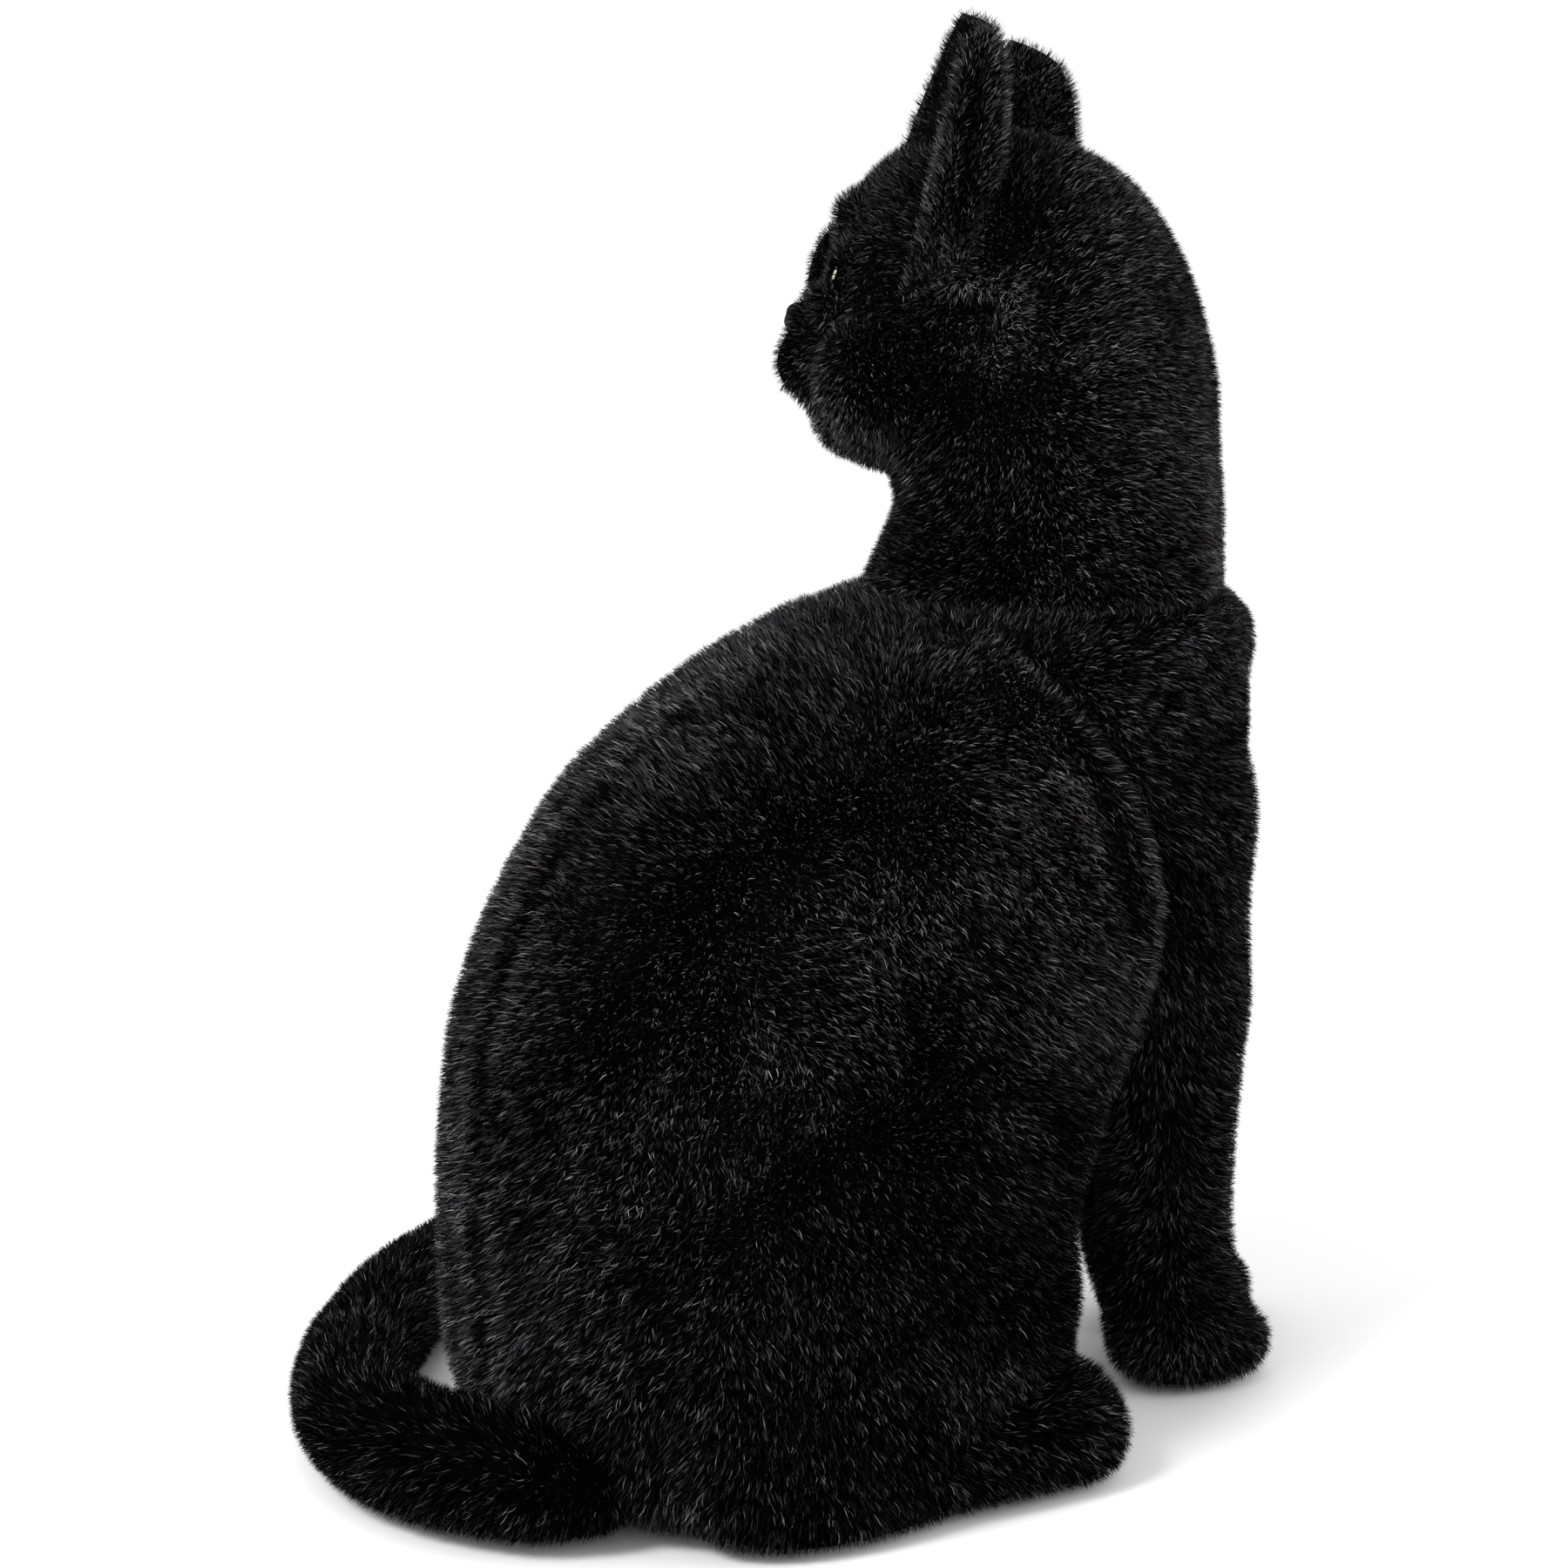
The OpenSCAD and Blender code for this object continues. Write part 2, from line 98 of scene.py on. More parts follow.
# Rows are [distance ahead, height of the middle, half height, half width].
MUZZLE_ROWS = [
    (36, 305, 21, 25), (46, 305.5, 23.5, 29), (56, 306, 23, 27), (64.5, 306, 19.5, 22.5), (70, 306, 16.5, 18),
    (74, 306.5, 12, 12), (76, 307.5, 5, 5),
]
TAIL_PATH = [
    (-22, 69, 21), (-15, 82, 20.5), (5, 93.5, 19.5), (25, 97.5, 18.5), (49, 96, 18), (71, 87, 17),
    (92, 74.5, 16.5), (110, 59, 16), (129, 40, 15.5), (146, 19, 15), (160, -1, 14.5),
]
# The shoulder seam, where the back panels meet the chest panel: [distance along Y, height].
SHOULDER_SEAM = [(-86, 60), (-86, 100), (-100, 140), (-98, 165), (-84, 196), (-64, 222), (-50, 240)]

EAR_INNER = np.array([17.0, -42.0, 361.0])
EAR_OUTER = np.array([46.0, -25.0, 330.0])
EAR_TIP = np.array([28.0, -22.0, 394.0])
EAR_BOW = np.array([0.2, 0.98, 0.0])
EAR_CUP = 24.0

# The studio, in metres and degrees.
FLOOR_HALF_SIDE = 60.0
LIGHTS_AIM = (0, -0.05, 0.2)
CAMERA_PLACE = (-0.80915, 0.55358, 0.400)
CAMERA_PITCH, CAMERA_HEADING = -11.8, -35.0
CAMERA_LENS, CAMERA_SENSOR = 84.4, 36


# ---------- small maths ----------
def ease(low, high, v):
    t = np.clip((np.asarray(v, float) - low) / (high - low), 0, 1)
    return t * t * (3 - 2 * t)


def unit(v):
    return v / np.maximum(np.linalg.norm(v, axis=-1, keepdims=True), 1e-9)


def smooth_rows(rows, steps):
    """The rows with steps - 1 more between each two, on a curve through them all."""
    rows = np.array(rows, float)
    out = []
    for i in range(len(rows) - 1):
        a, b, c, d = (rows[min(max(i + k, 0), len(rows) - 1)] for k in (-1, 0, 1, 2))
        for t in np.arange(steps) / steps:
            out.append(0.5 * (2 * b + (c - a) * t + (2 * a - 5 * b + 4 * c - d) * t ** 2
                              + (3 * b - a - 3 * c + d) * t ** 3))
    return np.array(out + [rows[-1]])


def oval(n, power):
    """n points round an outline between an ellipse (2) and a box."""
    a = np.arange(n) * 2 * math.pi / n
    bend = lambda v: np.sign(v) * np.abs(v) ** (2 / power)
    return np.stack([bend(np.cos(a)), bend(np.sin(a))], 1)


HASH = np.random.default_rng(11).random(1 << 16) * 2 - 1
HASH_PRIMES = (73856093, 19349663, 83492791)


def noise(p, scale, seed=0):
    """Smooth value noise from -1 to 1 at points p, with features about scale across."""
    q = np.asarray(p, float) / scale + seed * 17.3
    base = np.floor(q).astype(np.int64)
    f = q - base
    f = f * f * (3 - 2 * f)
    total = 0
    for dx in (0, 1):
        for dy in (0, 1):
            for dz in (0, 1):
                k = base + (dx, dy, dz)
                mixed = [k[:, axis] * prime for axis, prime in enumerate(HASH_PRIMES)]
                key = (mixed[0] ^ mixed[1] ^ mixed[2] ^ seed * 2654435) & 0xFFFF
                weight = (np.where(dx, f[:, 0], 1 - f[:, 0]) * np.where(dy, f[:, 1], 1 - f[:, 1])
                          * np.where(dz, f[:, 2], 1 - f[:, 2]))
                total = total + HASH[key] * weight
    return total


def to_line(p, line):
    """Distance from each point to a polyline."""
    best = np.full(len(p), 1e9)
    line = np.array(line, float)
    for a, b in zip(line[:-1], line[1:]):
        ab = b - a
        t = np.clip(((p - a) @ ab) / max(ab @ ab, 1e-9), 0, 1)
        best = np.minimum(best, np.linalg.norm(p - (a + t[:, None] * ab), axis=1))
    return best


# ---------- closed forms ----------
def loft(rings):
    """Rings of points joined into one closed form: (points, faces)."""
    rings = np.array(rings, float)
    m, n = rings.shape[:2]
    faces = [(j * n + i, (j + 1) * n + i, (j + 1) * n + (i + 1) % n, j * n + (i + 1) % n)
             for j in range(m - 1) for i in range(n)]
    faces.append(tuple(range(n)))
    faces.append(tuple((m - 1) * n + i for i in reversed(range(n))))
    return rings.reshape(-1, 3), faces


def ball(centre, radii, n=28):
    """A closed ellipsoid."""
    rings = []
    for j in range(1, n // 2):
        a = math.pi * j / (n // 2)
        r = oval(n, 2) * math.sin(a)
        rings.append(np.stack([r[:, 0], r[:, 1], np.full(n, -math.cos(a))], 1))
    points, faces = loft(rings)
    return points * np.array(radii, float) + np.array(centre, float), faces


def mirrored(form, side):
    points, faces = form
    return points * (side, 1, 1), [tuple(reversed(f)) for f in faces] if side < 0 else faces


def placed(form, place):
    return place(form[0]), form[1]


def level_ring(ring, half, back, front, height, out=0.0):
    """A ring at one height, half wide each way from out, and from back to front along Y."""
    return np.stack([out + ring[:, 0] * half, (back + front) / 2 + ring[:, 1] * (back - front) / 2,
                     np.full(len(ring), height)], 1)


def body_form():
    rings = []
    for z, back, front, half in smooth_rows(BODY_ROWS, 6):
        ring = oval(96, 2 + 0.3 * (1 - ease(200, 238, z)))
        rings.append(level_ring(ring, half, back, front, max(z, 2.0)))
    return loft(rings)


def haunch_form(side):
    rings = []
    for z, back, front, share in smooth_rows(HAUNCH_ROWS, 6):
        rings.append(level_ring(oval(64, 2.1), HAUNCH_HALF * share, back, front, z, HAUNCH_OUT))
    return mirrored(loft(rings), side)


def foot_form(side):
    rings = []
    for y, middle, height, half in smooth_rows(FOOT_ROWS, 5):
        ring = oval(48, 2.2)
        rings.append(np.stack([FOOT_OUT + FOOT_SPLAY * (HEEL - y) + ring[:, 0] * half, np.full(len(ring), y),
                               np.maximum(middle + ring[:, 1] * height, 0.8)], 1))
    return mirrored(loft(rings), side)


def stride(side, z):
    """How far ahead a foreleg stands at a height: only the left one steps forward."""
    return -STEP_AHEAD * (1 - ease(-60, 196, z)) / (1 - ease(-60, 196, 0)) if side > 0 else 0.0


def foreleg_form(side):
    rings = []
    for z, middle, depth, half in smooth_rows(FORELEG_ROWS, 5):
        out = PAW_OUT + (SHOULDER_OUT - PAW_OUT) * ease(50, 190, z)
        ring = oval(56, 2.1)
        rings.append(np.stack([out + ring[:, 0] * half, middle + stride(side, z) + ring[:, 1] * depth,
                               np.full(len(ring), z)], 1))
    return mirrored(loft(rings), side)


def tail_path():
    return smooth_rows(TAIL_PATH, 5)


def tail_form():
    path = tail_path()
    count = len(path) - 1
    heading = unit(np.gradient(path, axis=0))
    stations = [(path[i], heading[i], TAIL_RADIUS + (TAIL_TIP_RADIUS - TAIL_RADIUS) * i / count)
                for i in range(count + 1)]
    for a in range(15, 90, 15):
        lift = TAIL_TIP_RADIUS * math.sin(math.radians(a))
        stations.append((path[-1] + heading[-1] * lift, heading[-1], TAIL_TIP_RADIUS * math.cos(math.radians(a))))
    rings = []
    for p, h, radius in stations:
        side = unit(np.cross(h, (0, 0, 1)))
        up = np.cross(side, h)
        ring = oval(40, 2)
        rings.append(p + radius * (ring[:, :1] * side - ring[:, 1:] * up))
    return loft(rings)


# ---------- the head's own frame: -Y ahead, +X its left ----------
def lean(p, share):
    """Tilts points about the head's pivot by a share of the tilt, then turns them onto the neck."""
    a = np.radians(-HEAD_TILT) * share
    x = p[:, 0] * np.cos(a) + (p[:, 2] - TILT_PIVOT) * np.sin(a)
    z = TILT_PIVOT - p[:, 0] * np.sin(a) + (p[:, 2] - TILT_PIVOT) * np.cos(a)
    t = math.radians(HEAD_TURN)
    return np.stack([x * math.cos(t) - p[:, 1] * math.sin(t),
                     x * math.sin(t) + p[:, 1] * math.cos(t) - NECK_FORWARD, z], 1)


def on_neck(p):
    """Points of the head's own frame, the tilt growing up the neck."""
    return lean(p, ease(*TILT_RANGE, p[:, 2]))


def on_head(p):
    """Points of the head's own frame, fully tilted."""
    return lean(np.atleast_2d(np.asarray(p, float)), 1.0)


def head_direction(v):
    """A direction of the head's own frame in the part's frame."""
    return (on_head([v]) - on_head([[0, 0, 0]]))[0]


def off_head(p):
    """Points of the part's frame in the head's own frame."""
    columns = np.array([head_direction(v) for v in np.eye(3)])
    return (p - on_head([[0, 0, 0]])) @ columns.T


def head_form():
    rings = []
    for z, back, front, half in smooth_rows(HEAD_ROWS, 6):
        ring = oval(96, 2 + 0.3 * float(ease(270, 300, z)))
        rings.append(level_ring(ring, half, back, front, z))
    return placed(loft(rings), on_neck)


def muzzle_form():
    rings = []
    for ahead, middle, height, half in smooth_rows(MUZZLE_ROWS, 5):
        ring = oval(56, 2.2)
        rings.append(np.stack([ring[:, 0] * half, np.full(len(ring), -ahead), middle + ring[:, 1] * height], 1))
    return placed(loft(rings), on_head)


def face_forms():
    """The soft lumps of the face: nose bridge, whisker pads, chin, brows and cheeks."""
    lumps = [ball((0, -59.5, 325), (12, 14.5, 19)), ball((0, -55, 287.5), (14, 13, 11)),
             ball((0, -41, 284), (20, 19, 11)), ball((0, -43, 346), (18, 14, 14))]
    for side in SIDES.values():
        lumps.append(ball((side * 9, -65, 301.5), (12.5, 12.5, 12)))
        lumps.append(ball((side * 18, -47, 342), (12, 11, 8)))
        lumps.append(ball((side * 33, -34, 297), (16, 22, 18)))
        lumps.append(ball((side * 24, -50, 316), (12, 11, 8)))
    return [placed(form, on_head) for form in lumps]


def ear_face(s, t):
    """A point on the ear's cupped middle surface: s goes across it, t from its base to its tip."""
    s, t = s[:, None], t[:, None]
    middle = 0.5 - 0.06 * (1 - t)
    along = middle + (s - middle) * (1 - 0.25 * t - 0.44 * t * np.abs(t))
    rise = EAR_TIP - (EAR_INNER + EAR_OUTER) / 2
    return (EAR_INNER + (EAR_OUTER - EAR_INNER) * along + rise * t
            + EAR_BOW * EAR_CUP * 4 * s * (1 - s) * (1 - 0.66 * t))


def ear_point(s, t, lift):
    """A point of the ear raised from its middle surface."""
    d = 0.01
    n = np.cross(ear_face(s + d, t) - ear_face(s - d, t), ear_face(s, t + d) - ear_face(s, t - d))
    return ear_face(s, t) - unit(n) * lift[:, None]


# ---------- sewn skins ----------
def new_mesh(name, points, faces):
    mesh = bpy.data.meshes.new(name)
    mesh.from_pydata((np.asarray(points) * MM).tolist(), [], faces)
    mesh.update()
    return mesh


def shade_smooth(mesh):
    mesh.polygons.foreach_set("use_smooth", [True] * len(mesh.polygons))


def new_object(name, data):
    ob = bpy.data.objects.new(name, data)
    bpy.context.scene.collection.objects.link(ob)
    return ob


def mesh_arrays(mesh):
    """A mesh's points and its faces as rows of four, the last two alike on a triangle."""
    points = np.empty(len(mesh.vertices) * 3)
    mesh.vertices.foreach_get("co", points)
    faces = [tuple(p.vertices) for p in mesh.polygons]
    faces = np.array([f if len(f) == 4 else (*f, f[-1]) for f in faces])
    return points.reshape(-1, 3) / MM, faces


def fused(forms, voxel=SKIN_VOXEL):
    """One closed surface round all the forms: (points, quads)."""
    points, faces, start = [], [], 0
    for p, f in forms:
        points.append(p)
        faces += [tuple(i + start for i in face) for face in f]
        start += len(p)
    ob = new_object("fusing", new_mesh("fusing", np.concatenate(points), faces))
    remesh = ob.modifiers.new("voxels", "REMESH")
    remesh.mode = "VOXEL"
    remesh.voxel_size = voxel * MM
    mesh = bpy.data.meshes.new_from_object(ob.evaluated_get(bpy.context.evaluated_depsgraph_get()))
    bpy.data.objects.remove(ob)
    arrays = mesh_arrays(mesh)
    bpy.data.meshes.remove(mesh)
    return arrays


def normals_of(points, faces):
    """The normal at each point, from the faces round it."""
    n = np.cross(points[faces[:, 2]] - points[faces[:, 0]], points[faces[:, 3]] - points[faces[:, 1]])
    total = np.zeros_like(points)
    for k in range(4):
        for axis in range(3):
            total[:, axis] += np.bincount(faces[:, k], n[:, axis], len(points))
    return unit(total)


SHRINK, SWELL = 0.6, -0.57


def relaxed(points, faces, rounds, hold=None):
    """Evens a surface out, without shrinking it, where hold is 0 and not where it is 1."""
    edges = np.concatenate([faces[:, [0, 1]], faces[:, [1, 2]], faces[:, [2, 3]], faces[:, [3, 0]]])
    both = np.concatenate([edges, edges[:, ::-1]])
    degree = np.bincount(both[:, 0], minlength=len(points))[:, None]
    free = 1 if hold is None else (1 - hold)[:, None]
    for i in range(2 * rounds):
        mean = np.stack([np.bincount(both[:, 0], points[both[:, 1], a], len(points)) for a in range(3)], 1) / degree
        points = points + free * (SHRINK if i % 2 == 0 else SWELL) * (mean - points)
    return points


def held_at_joint(points):
    """From 1 on the plane where the head turns to 0 away from it."""
    return np.maximum(1 - np.abs(points[:, 2] - JOINT_HEIGHT) / JOINT_HOLD, 0)


def pushed(points, faces, amount):
    """Points moved out along their normals."""
    return points + normals_of(points, faces) * amount[:, None]


def lumpy(points, seed):
    """The uneven firmness of hand stuffing."""
    return 0.9 * noise(points, 46, seed) + 0.5 * noise(points, 21, seed + 1) + 0.2 * noise(points, 9, seed + 2)


def crease(points, line, width, depth):
    """A drawn-in seam along a line."""
    return -depth * np.exp(-(to_line(points, line) / width) ** 2)


def nearest_form(points, forms):
    """For each point, which form's surface is nearest."""
    trees = [BVHTree.FromPolygons([Vector(p) for p in f[0]], f[1]) for f in forms]
    distance = np.array([[tree.find_nearest(Vector(p))[3] for p in points] for tree in trees])
    return distance.argmin(0)


def part_of(points, faces, chosen):
    """The chosen faces as a surface of its own."""
    kept = faces[chosen]
    used, index = np.unique(kept, return_inverse=True)
    return points[used], index.reshape(kept.shape)


def as_tuples(faces):
    """Rows of four as faces, a triangle where the last two are alike."""
    return [tuple(f) if f[2] != f[3] else tuple(f[:3]) for f in faces.tolist()]


def sewn_piece(name, points, faces, body, replaced, material):
    """A shaped skin or filling that stands for CAD nodes on a body."""
    ob = new_object(name, new_mesh(name, points, as_tuples(faces)))
    shade_smooth(ob.data)
    ob.data.materials.append(material)
    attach(ob, body)
    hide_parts(*replaced)


# ---------- pile ----------
# Seams and folds seen in the head's own frame, with painted highlights on ridges and painted shade in creases: (line,
# width, how much lighter the pile is painted along it).
HEAD_PAINTED_LIGHT = [
    ([(48, -13, 321), (49, 6, 320), (49, 4, 310), (48, 0, 298)], 3.2, 1.5),
    ([(48, -9, 315.5), (49, -3, 314.5)], 2.2, -2.0),
    ([(48, 17, 330), (48, 16, 315), (46, 13, 297)], 6.0, -0.7),
    ([(47, -20, 342), (48, -15, 330), (48, -7, 331), (47, -3, 346)], 2.8, 1.0),
    ([(16, -48, 358.5), (16, -54, 352.5), (17, -58, 344), (20, -58, 336)], 3.0, 1.0),
    ([(30, -37, 356), (30, -45, 346), (29, -51, 336)], 3.0, 0.7),
    ([(10, -62, 285), (10, -51, 279), (12, -38, 278), (20, -28, 276)], 5.0, 0.9),
    ([(22, -54, 290), (24, -40, 284), (28, -26, 285)], 3.0, -0.9),
    ([(34, -20, 352), (44, 8, 345), (47, 8, 330)], 4.0, -0.7),
    ([(0, -30, 367), (0, 0, 367), (0, 20, 355), (0, 40, 325), (0, 46, 300), (0, 48, 262)], 4.0, 0.5),
]
# The same painted highlights and shade on the back of an ear, also in the head's own frame.
EAR_PAINTED_LIGHT = [
    ([(43, -22, 330), (43, -22, 345), (42, -23, 360), (38, -24, 379), (30, -22, 396)], 2.6, 1.2),
    ([(44, -6, 332), (44, -3, 347), (42, -4, 367), (36, -7, 384), (30, -10, 396)], 2.4, 1.0),
    ([(45, -12, 330), (45, -12, 345), (43, -12, 360), (38, -14, 378), (32, -15, 388)], 2.4, -1.5),
]
# The same painted highlights and shade on the torso, in the part's frame. Each line counts on both sides.
TORSO_PAINTED_LIGHT = [
    ([(-62, -51, 222), (-64, -62, 200), (-64, -72, 172)], 5.0, 1.0),
    ([(-64, -58, 222), (-66, -70, 200), (-66, -80, 172), (-66, -92, 140)], 3.5, -1.0),
    ([(-74, 52, 127), (-74, 25, 136), (-74, -17, 141), (-74, -46, 131), (-74, -68, 103)], 4.5, 0.8),
    ([(-74, 46, 118), (-74, 22, 127), (-74, -17, 131), (-74, -42, 121), (-74, -60, 98)], 4.0, -0.8),
    ([(0, 66, 12), (0, 85, 60), (0, 86, 98), (0, 82, 132), (0, 71, 162), (0, 50, 192), (0, 17, 216)], 2.5, -1.0),
    ([(-8, 66, 12), (-8, 84, 60), (-8, 85, 98), (-8, 81, 132), (-8, 70, 162), (-8, 49, 192)], 4.0, 0.5),
]


def painted_light_along(lines, place=None):
    """Painted highlight (or painted shade, below 0) on the pile at points near the lines, alike on both sides."""
    def painted_light(p):
        q = (place(p) if place else p) * 1.0
        q[:, 0] = np.abs(q[:, 0])
        total = 0
        for line, width, strength in lines:
            one_side = np.abs(line) * (1, 0, 0) + np.array(line) * (0, 1, 1)
            total = total + strength * np.exp(-(to_line(q, one_side) / width) ** 2)
        return total
    return painted_light


def comb_from(flow, turn=1.0, seed=0):
    """A nap that runs along flow, wandering from side to side. flow is a direction or gives one at each point."""
    def comb(p, n):
        v = flow(p) if callable(flow) else np.broadcast_to(np.array(flow, float), p.shape)
        v = unit(v - n * (v * n).sum(1, keepdims=True) + 1e-4)
        across = np.cross(n, v)
        a = turn * (1.5 * noise(p, 26, seed + 5) + 0.9 * noise(p, 9, seed + 6))
        return v * np.cos(a)[:, None] + across * np.sin(a)[:, None]
    return comb


# The share of each fibre tone on plain pile, from the darkest up.
TONE_SHARES = [0.38, 0.27, 0.18, 0.08, 0.05, 0.04]
MOST_FIBRES = 66000       # on one piece
FIBRE_ROOT = 0.4          # how deep a fibre starts under the skin
FIBRE_STRAY = 0.75        # how far single fibres leave the nap
FIBRE_FLOOR = 0.4         # no fibre reaches lower than this
BLADE_POINTS, BLADE_CORNERS = 5, 7


def pile(name, points, faces, body, comb, tones, length=3.9, density=3.0, seed=1, keep=None,
         width=0.23, painted_shade=1.0, painted_light=None):
    """Standing fibres over a surface: each is a tapered blade that bends towards the nap."""
    rng = np.random.default_rng(seed)
    corners = np.concatenate([faces[:, [0, 1, 2]], faces[:, [0, 2, 3]]])
    area = np.linalg.norm(np.cross(points[corners[:, 1]] - points[corners[:, 0]],
                                   points[corners[:, 2]] - points[corners[:, 0]]), axis=1) / 2
    count = min(int(area.sum() * density), MOST_FIBRES)
    pick = corners[np.searchsorted(np.cumsum(area) / area.sum(), rng.random(count)).clip(max=len(area) - 1)]
    u, v = rng.random(count), rng.random(count)
    over = u + v > 1
    u[over], v[over] = 1 - u[over], 1 - v[over]
    share = np.stack([1 - u - v, u, v], 1)[:, :, None]
    normal = normals_of(points, faces)
    p = (points[pick] * share).sum(1)
    n = unit((normal[pick] * share).sum(1))
    if keep is not None:
        grown = keep(p)
        chosen = rng.random(count) < grown
        p, n, grown = p[chosen], n[chosen], grown[chosen]
    else:
        grown = np.ones(count)
    count = len(p)
    crushed = ease(0.1, 0.75, noise(p, 30, seed + 20) + 0.5 * noise(p, 11, seed + 21))
    nap = comb(p, n)
    stray = unit(np.cross(n, rng.normal(size=(count, 3))))
    nap = unit(nap + stray * FIBRE_STRAY)
    height = length * (0.55 + 0.45 * grown) * (0.72 + 0.5 * rng.random(count)) * (1 - 0.12 * crushed)
    low = np.radians(4 + 16 * crushed + 14 * rng.random(count))
    high = low + np.radians(5 + 26 * rng.random(count))
    first = n * np.cos(low)[:, None] + nap * np.sin(low)[:, None]
    last = n * np.cos(high)[:, None] + nap * np.sin(high)[:, None]
    side = unit(np.cross(first, rng.normal(size=(count, 3)))) * width * (0.75 + 0.5 * rng.random(count))[:, None]
    root = p - n * FIBRE_ROOT
    middle = root + first * (height * 0.55)[:, None]
    tip = middle + last * (height * 0.5)[:, None]
    blades = np.stack([root - side / 2, root + side / 2, middle - side * 0.42, middle + side * 0.42, tip], 1)
    blades[:, :, 2] = np.maximum(blades[:, :, 2], FIBRE_FLOOR)
    nth = np.arange(count)[:, None]
    mesh = bpy.data.meshes.new(name)
    mesh.vertices.add(count * BLADE_POINTS)
    mesh.vertices.foreach_set("co", (blades * MM).ravel())
    mesh.loops.add(count * BLADE_CORNERS)
    mesh.polygons.add(count * 2)
    mesh.polygons.foreach_set("loop_start", (nth * BLADE_CORNERS + np.array([0, 4])).ravel())
    mesh.polygons.foreach_set("vertices", (nth * BLADE_POINTS + np.array([0, 1, 3, 2, 2, 3, 4])).ravel())
    # Painted light and shade pick each fibre's tone: the piece's painted shade, a painted sheen on crushed patches,
    # painted shade darker towards the floor, and painted highlights and shade along seams and folds. The noise is the
    # fibres' own random tone.
    lighter_tone_and_painted_light = 0.4 * noise(p, 24, seed + 30) + (painted_light(p) if painted_light else 0)
    darker_tone_and_painted_shade = painted_shade * (1 - 0.3 * crushed) * (1.9 - 0.9 * ease(10, 200, p[:, 2])) * np.exp(-1.25 * lighter_tone_and_painted_light)
    tone = np.searchsorted(np.cumsum(TONE_SHARES), rng.random(count) ** darker_tone_and_painted_shade * 0.9999)
    mesh.polygons.foreach_set("material_index", np.repeat(tone.clip(max=len(tones) - 1), 2))
    mesh.polygons.foreach_set("use_smooth", np.ones(count * 2, bool))
    for tone_material in tones:
        mesh.materials.append(tone_material)
    mesh.update(calc_edges=True)
    ob = new_object(name, mesh)
    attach(ob, body)


# ---------- materials ----------
def socket(group, kind, name, direction, value=None):
    """Adds a named input or output to a group."""
    made = group.interface.new_socket(name=name, in_out=direction, socket_type=kind)
    if value is not None:
        made.default_value = value
    return made


def cloth_group():
    """Backing cloth and crushed pile: blotches between two colours, with the height of a fine nap."""
    g = bpy.data.node_groups.new("crushed_pile", "ShaderNodeTree")
    socket(g, "NodeSocketColor", "Deep", "INPUT", (0.002, 0.002, 0.002, 1))
    socket(g, "NodeSocketColor", "Worn", "INPUT", (0.02, 0.02, 0.02, 1))
    socket(g, "NodeSocketFloat", "Blotch scale", "INPUT", 40.0)
    socket(g, "NodeSocketFloat", "Fibre scale", "INPUT", 900.0)
    socket(g, "NodeSocketColor", "Color", "OUTPUT")
    socket(g, "NodeSocketFloat", "Roughness", "OUTPUT")
    socket(g, "NodeSocketFloat", "Height", "OUTPUT")
    nodes, links = g.nodes, g.links
    given, out = nodes.new("NodeGroupInput"), nodes.new("NodeGroupOutput")
    place = nodes.new("ShaderNodeNewGeometry")
    blotch = nodes.new("ShaderNodeTexNoise")
    blotch.inputs["Detail"].default_value = 4
    fibre = nodes.new("ShaderNodeTexNoise")
    fibre.inputs["Detail"].default_value = 3
    ramp = nodes.new("ShaderNodeMapRange")
    ramp.inputs["From Min"].default_value = 0.42
    ramp.inputs["From Max"].default_value = 0.72
    both = nodes.new("ShaderNodeMath")
    both.operation = "MULTIPLY"
    mix = nodes.new("ShaderNodeMix")
    mix.data_type = "RGBA"
    rough = nodes.new("ShaderNodeMapRange")
    rough.inputs["To Min"].default_value = 0.72
    rough.inputs["To Max"].default_value = 0.95
    for tex, scale in ((blotch, "Blotch scale"), (fibre, "Fibre scale")):
        links.new(place.outputs["Position"], tex.inputs["Vector"])
        links.new(given.outputs[scale], tex.inputs["Scale"])
    links.new(blotch.outputs["Fac"], ramp.inputs["Value"])
    links.new(ramp.outputs["Result"], both.inputs[0])
    links.new(fibre.outputs["Fac"], both.inputs[1])
    links.new(both.outputs["Value"], mix.inputs["Factor"])
    links.new(given.outputs["Deep"], mix.inputs["A"])
    links.new(given.outputs["Worn"], mix.inputs["B"])
    links.new(fibre.outputs["Fac"], rough.inputs["Value"])
    links.new(mix.outputs["Result"], out.inputs["Color"])
    links.new(rough.outputs["Result"], out.inputs["Roughness"])
    links.new(fibre.outputs["Fac"], out.inputs["Height"])
    return g


def plain_material(name, colour, roughness=0.5, metallic=0.0, specular=0.5, coat=0.0):
    m = bpy.data.materials.new(name)
    m.use_nodes = True
    p = m.node_tree.nodes["Principled BSDF"]
    p.inputs["Base Color"].default_value = (*colour, 1)
    p.inputs["Roughness"].default_value = roughness
    p.inputs["Metallic"].default_value = metallic
    p.inputs["Specular IOR Level"].default_value = specular
    p.inputs["Coat Weight"].default_value = coat
    return m


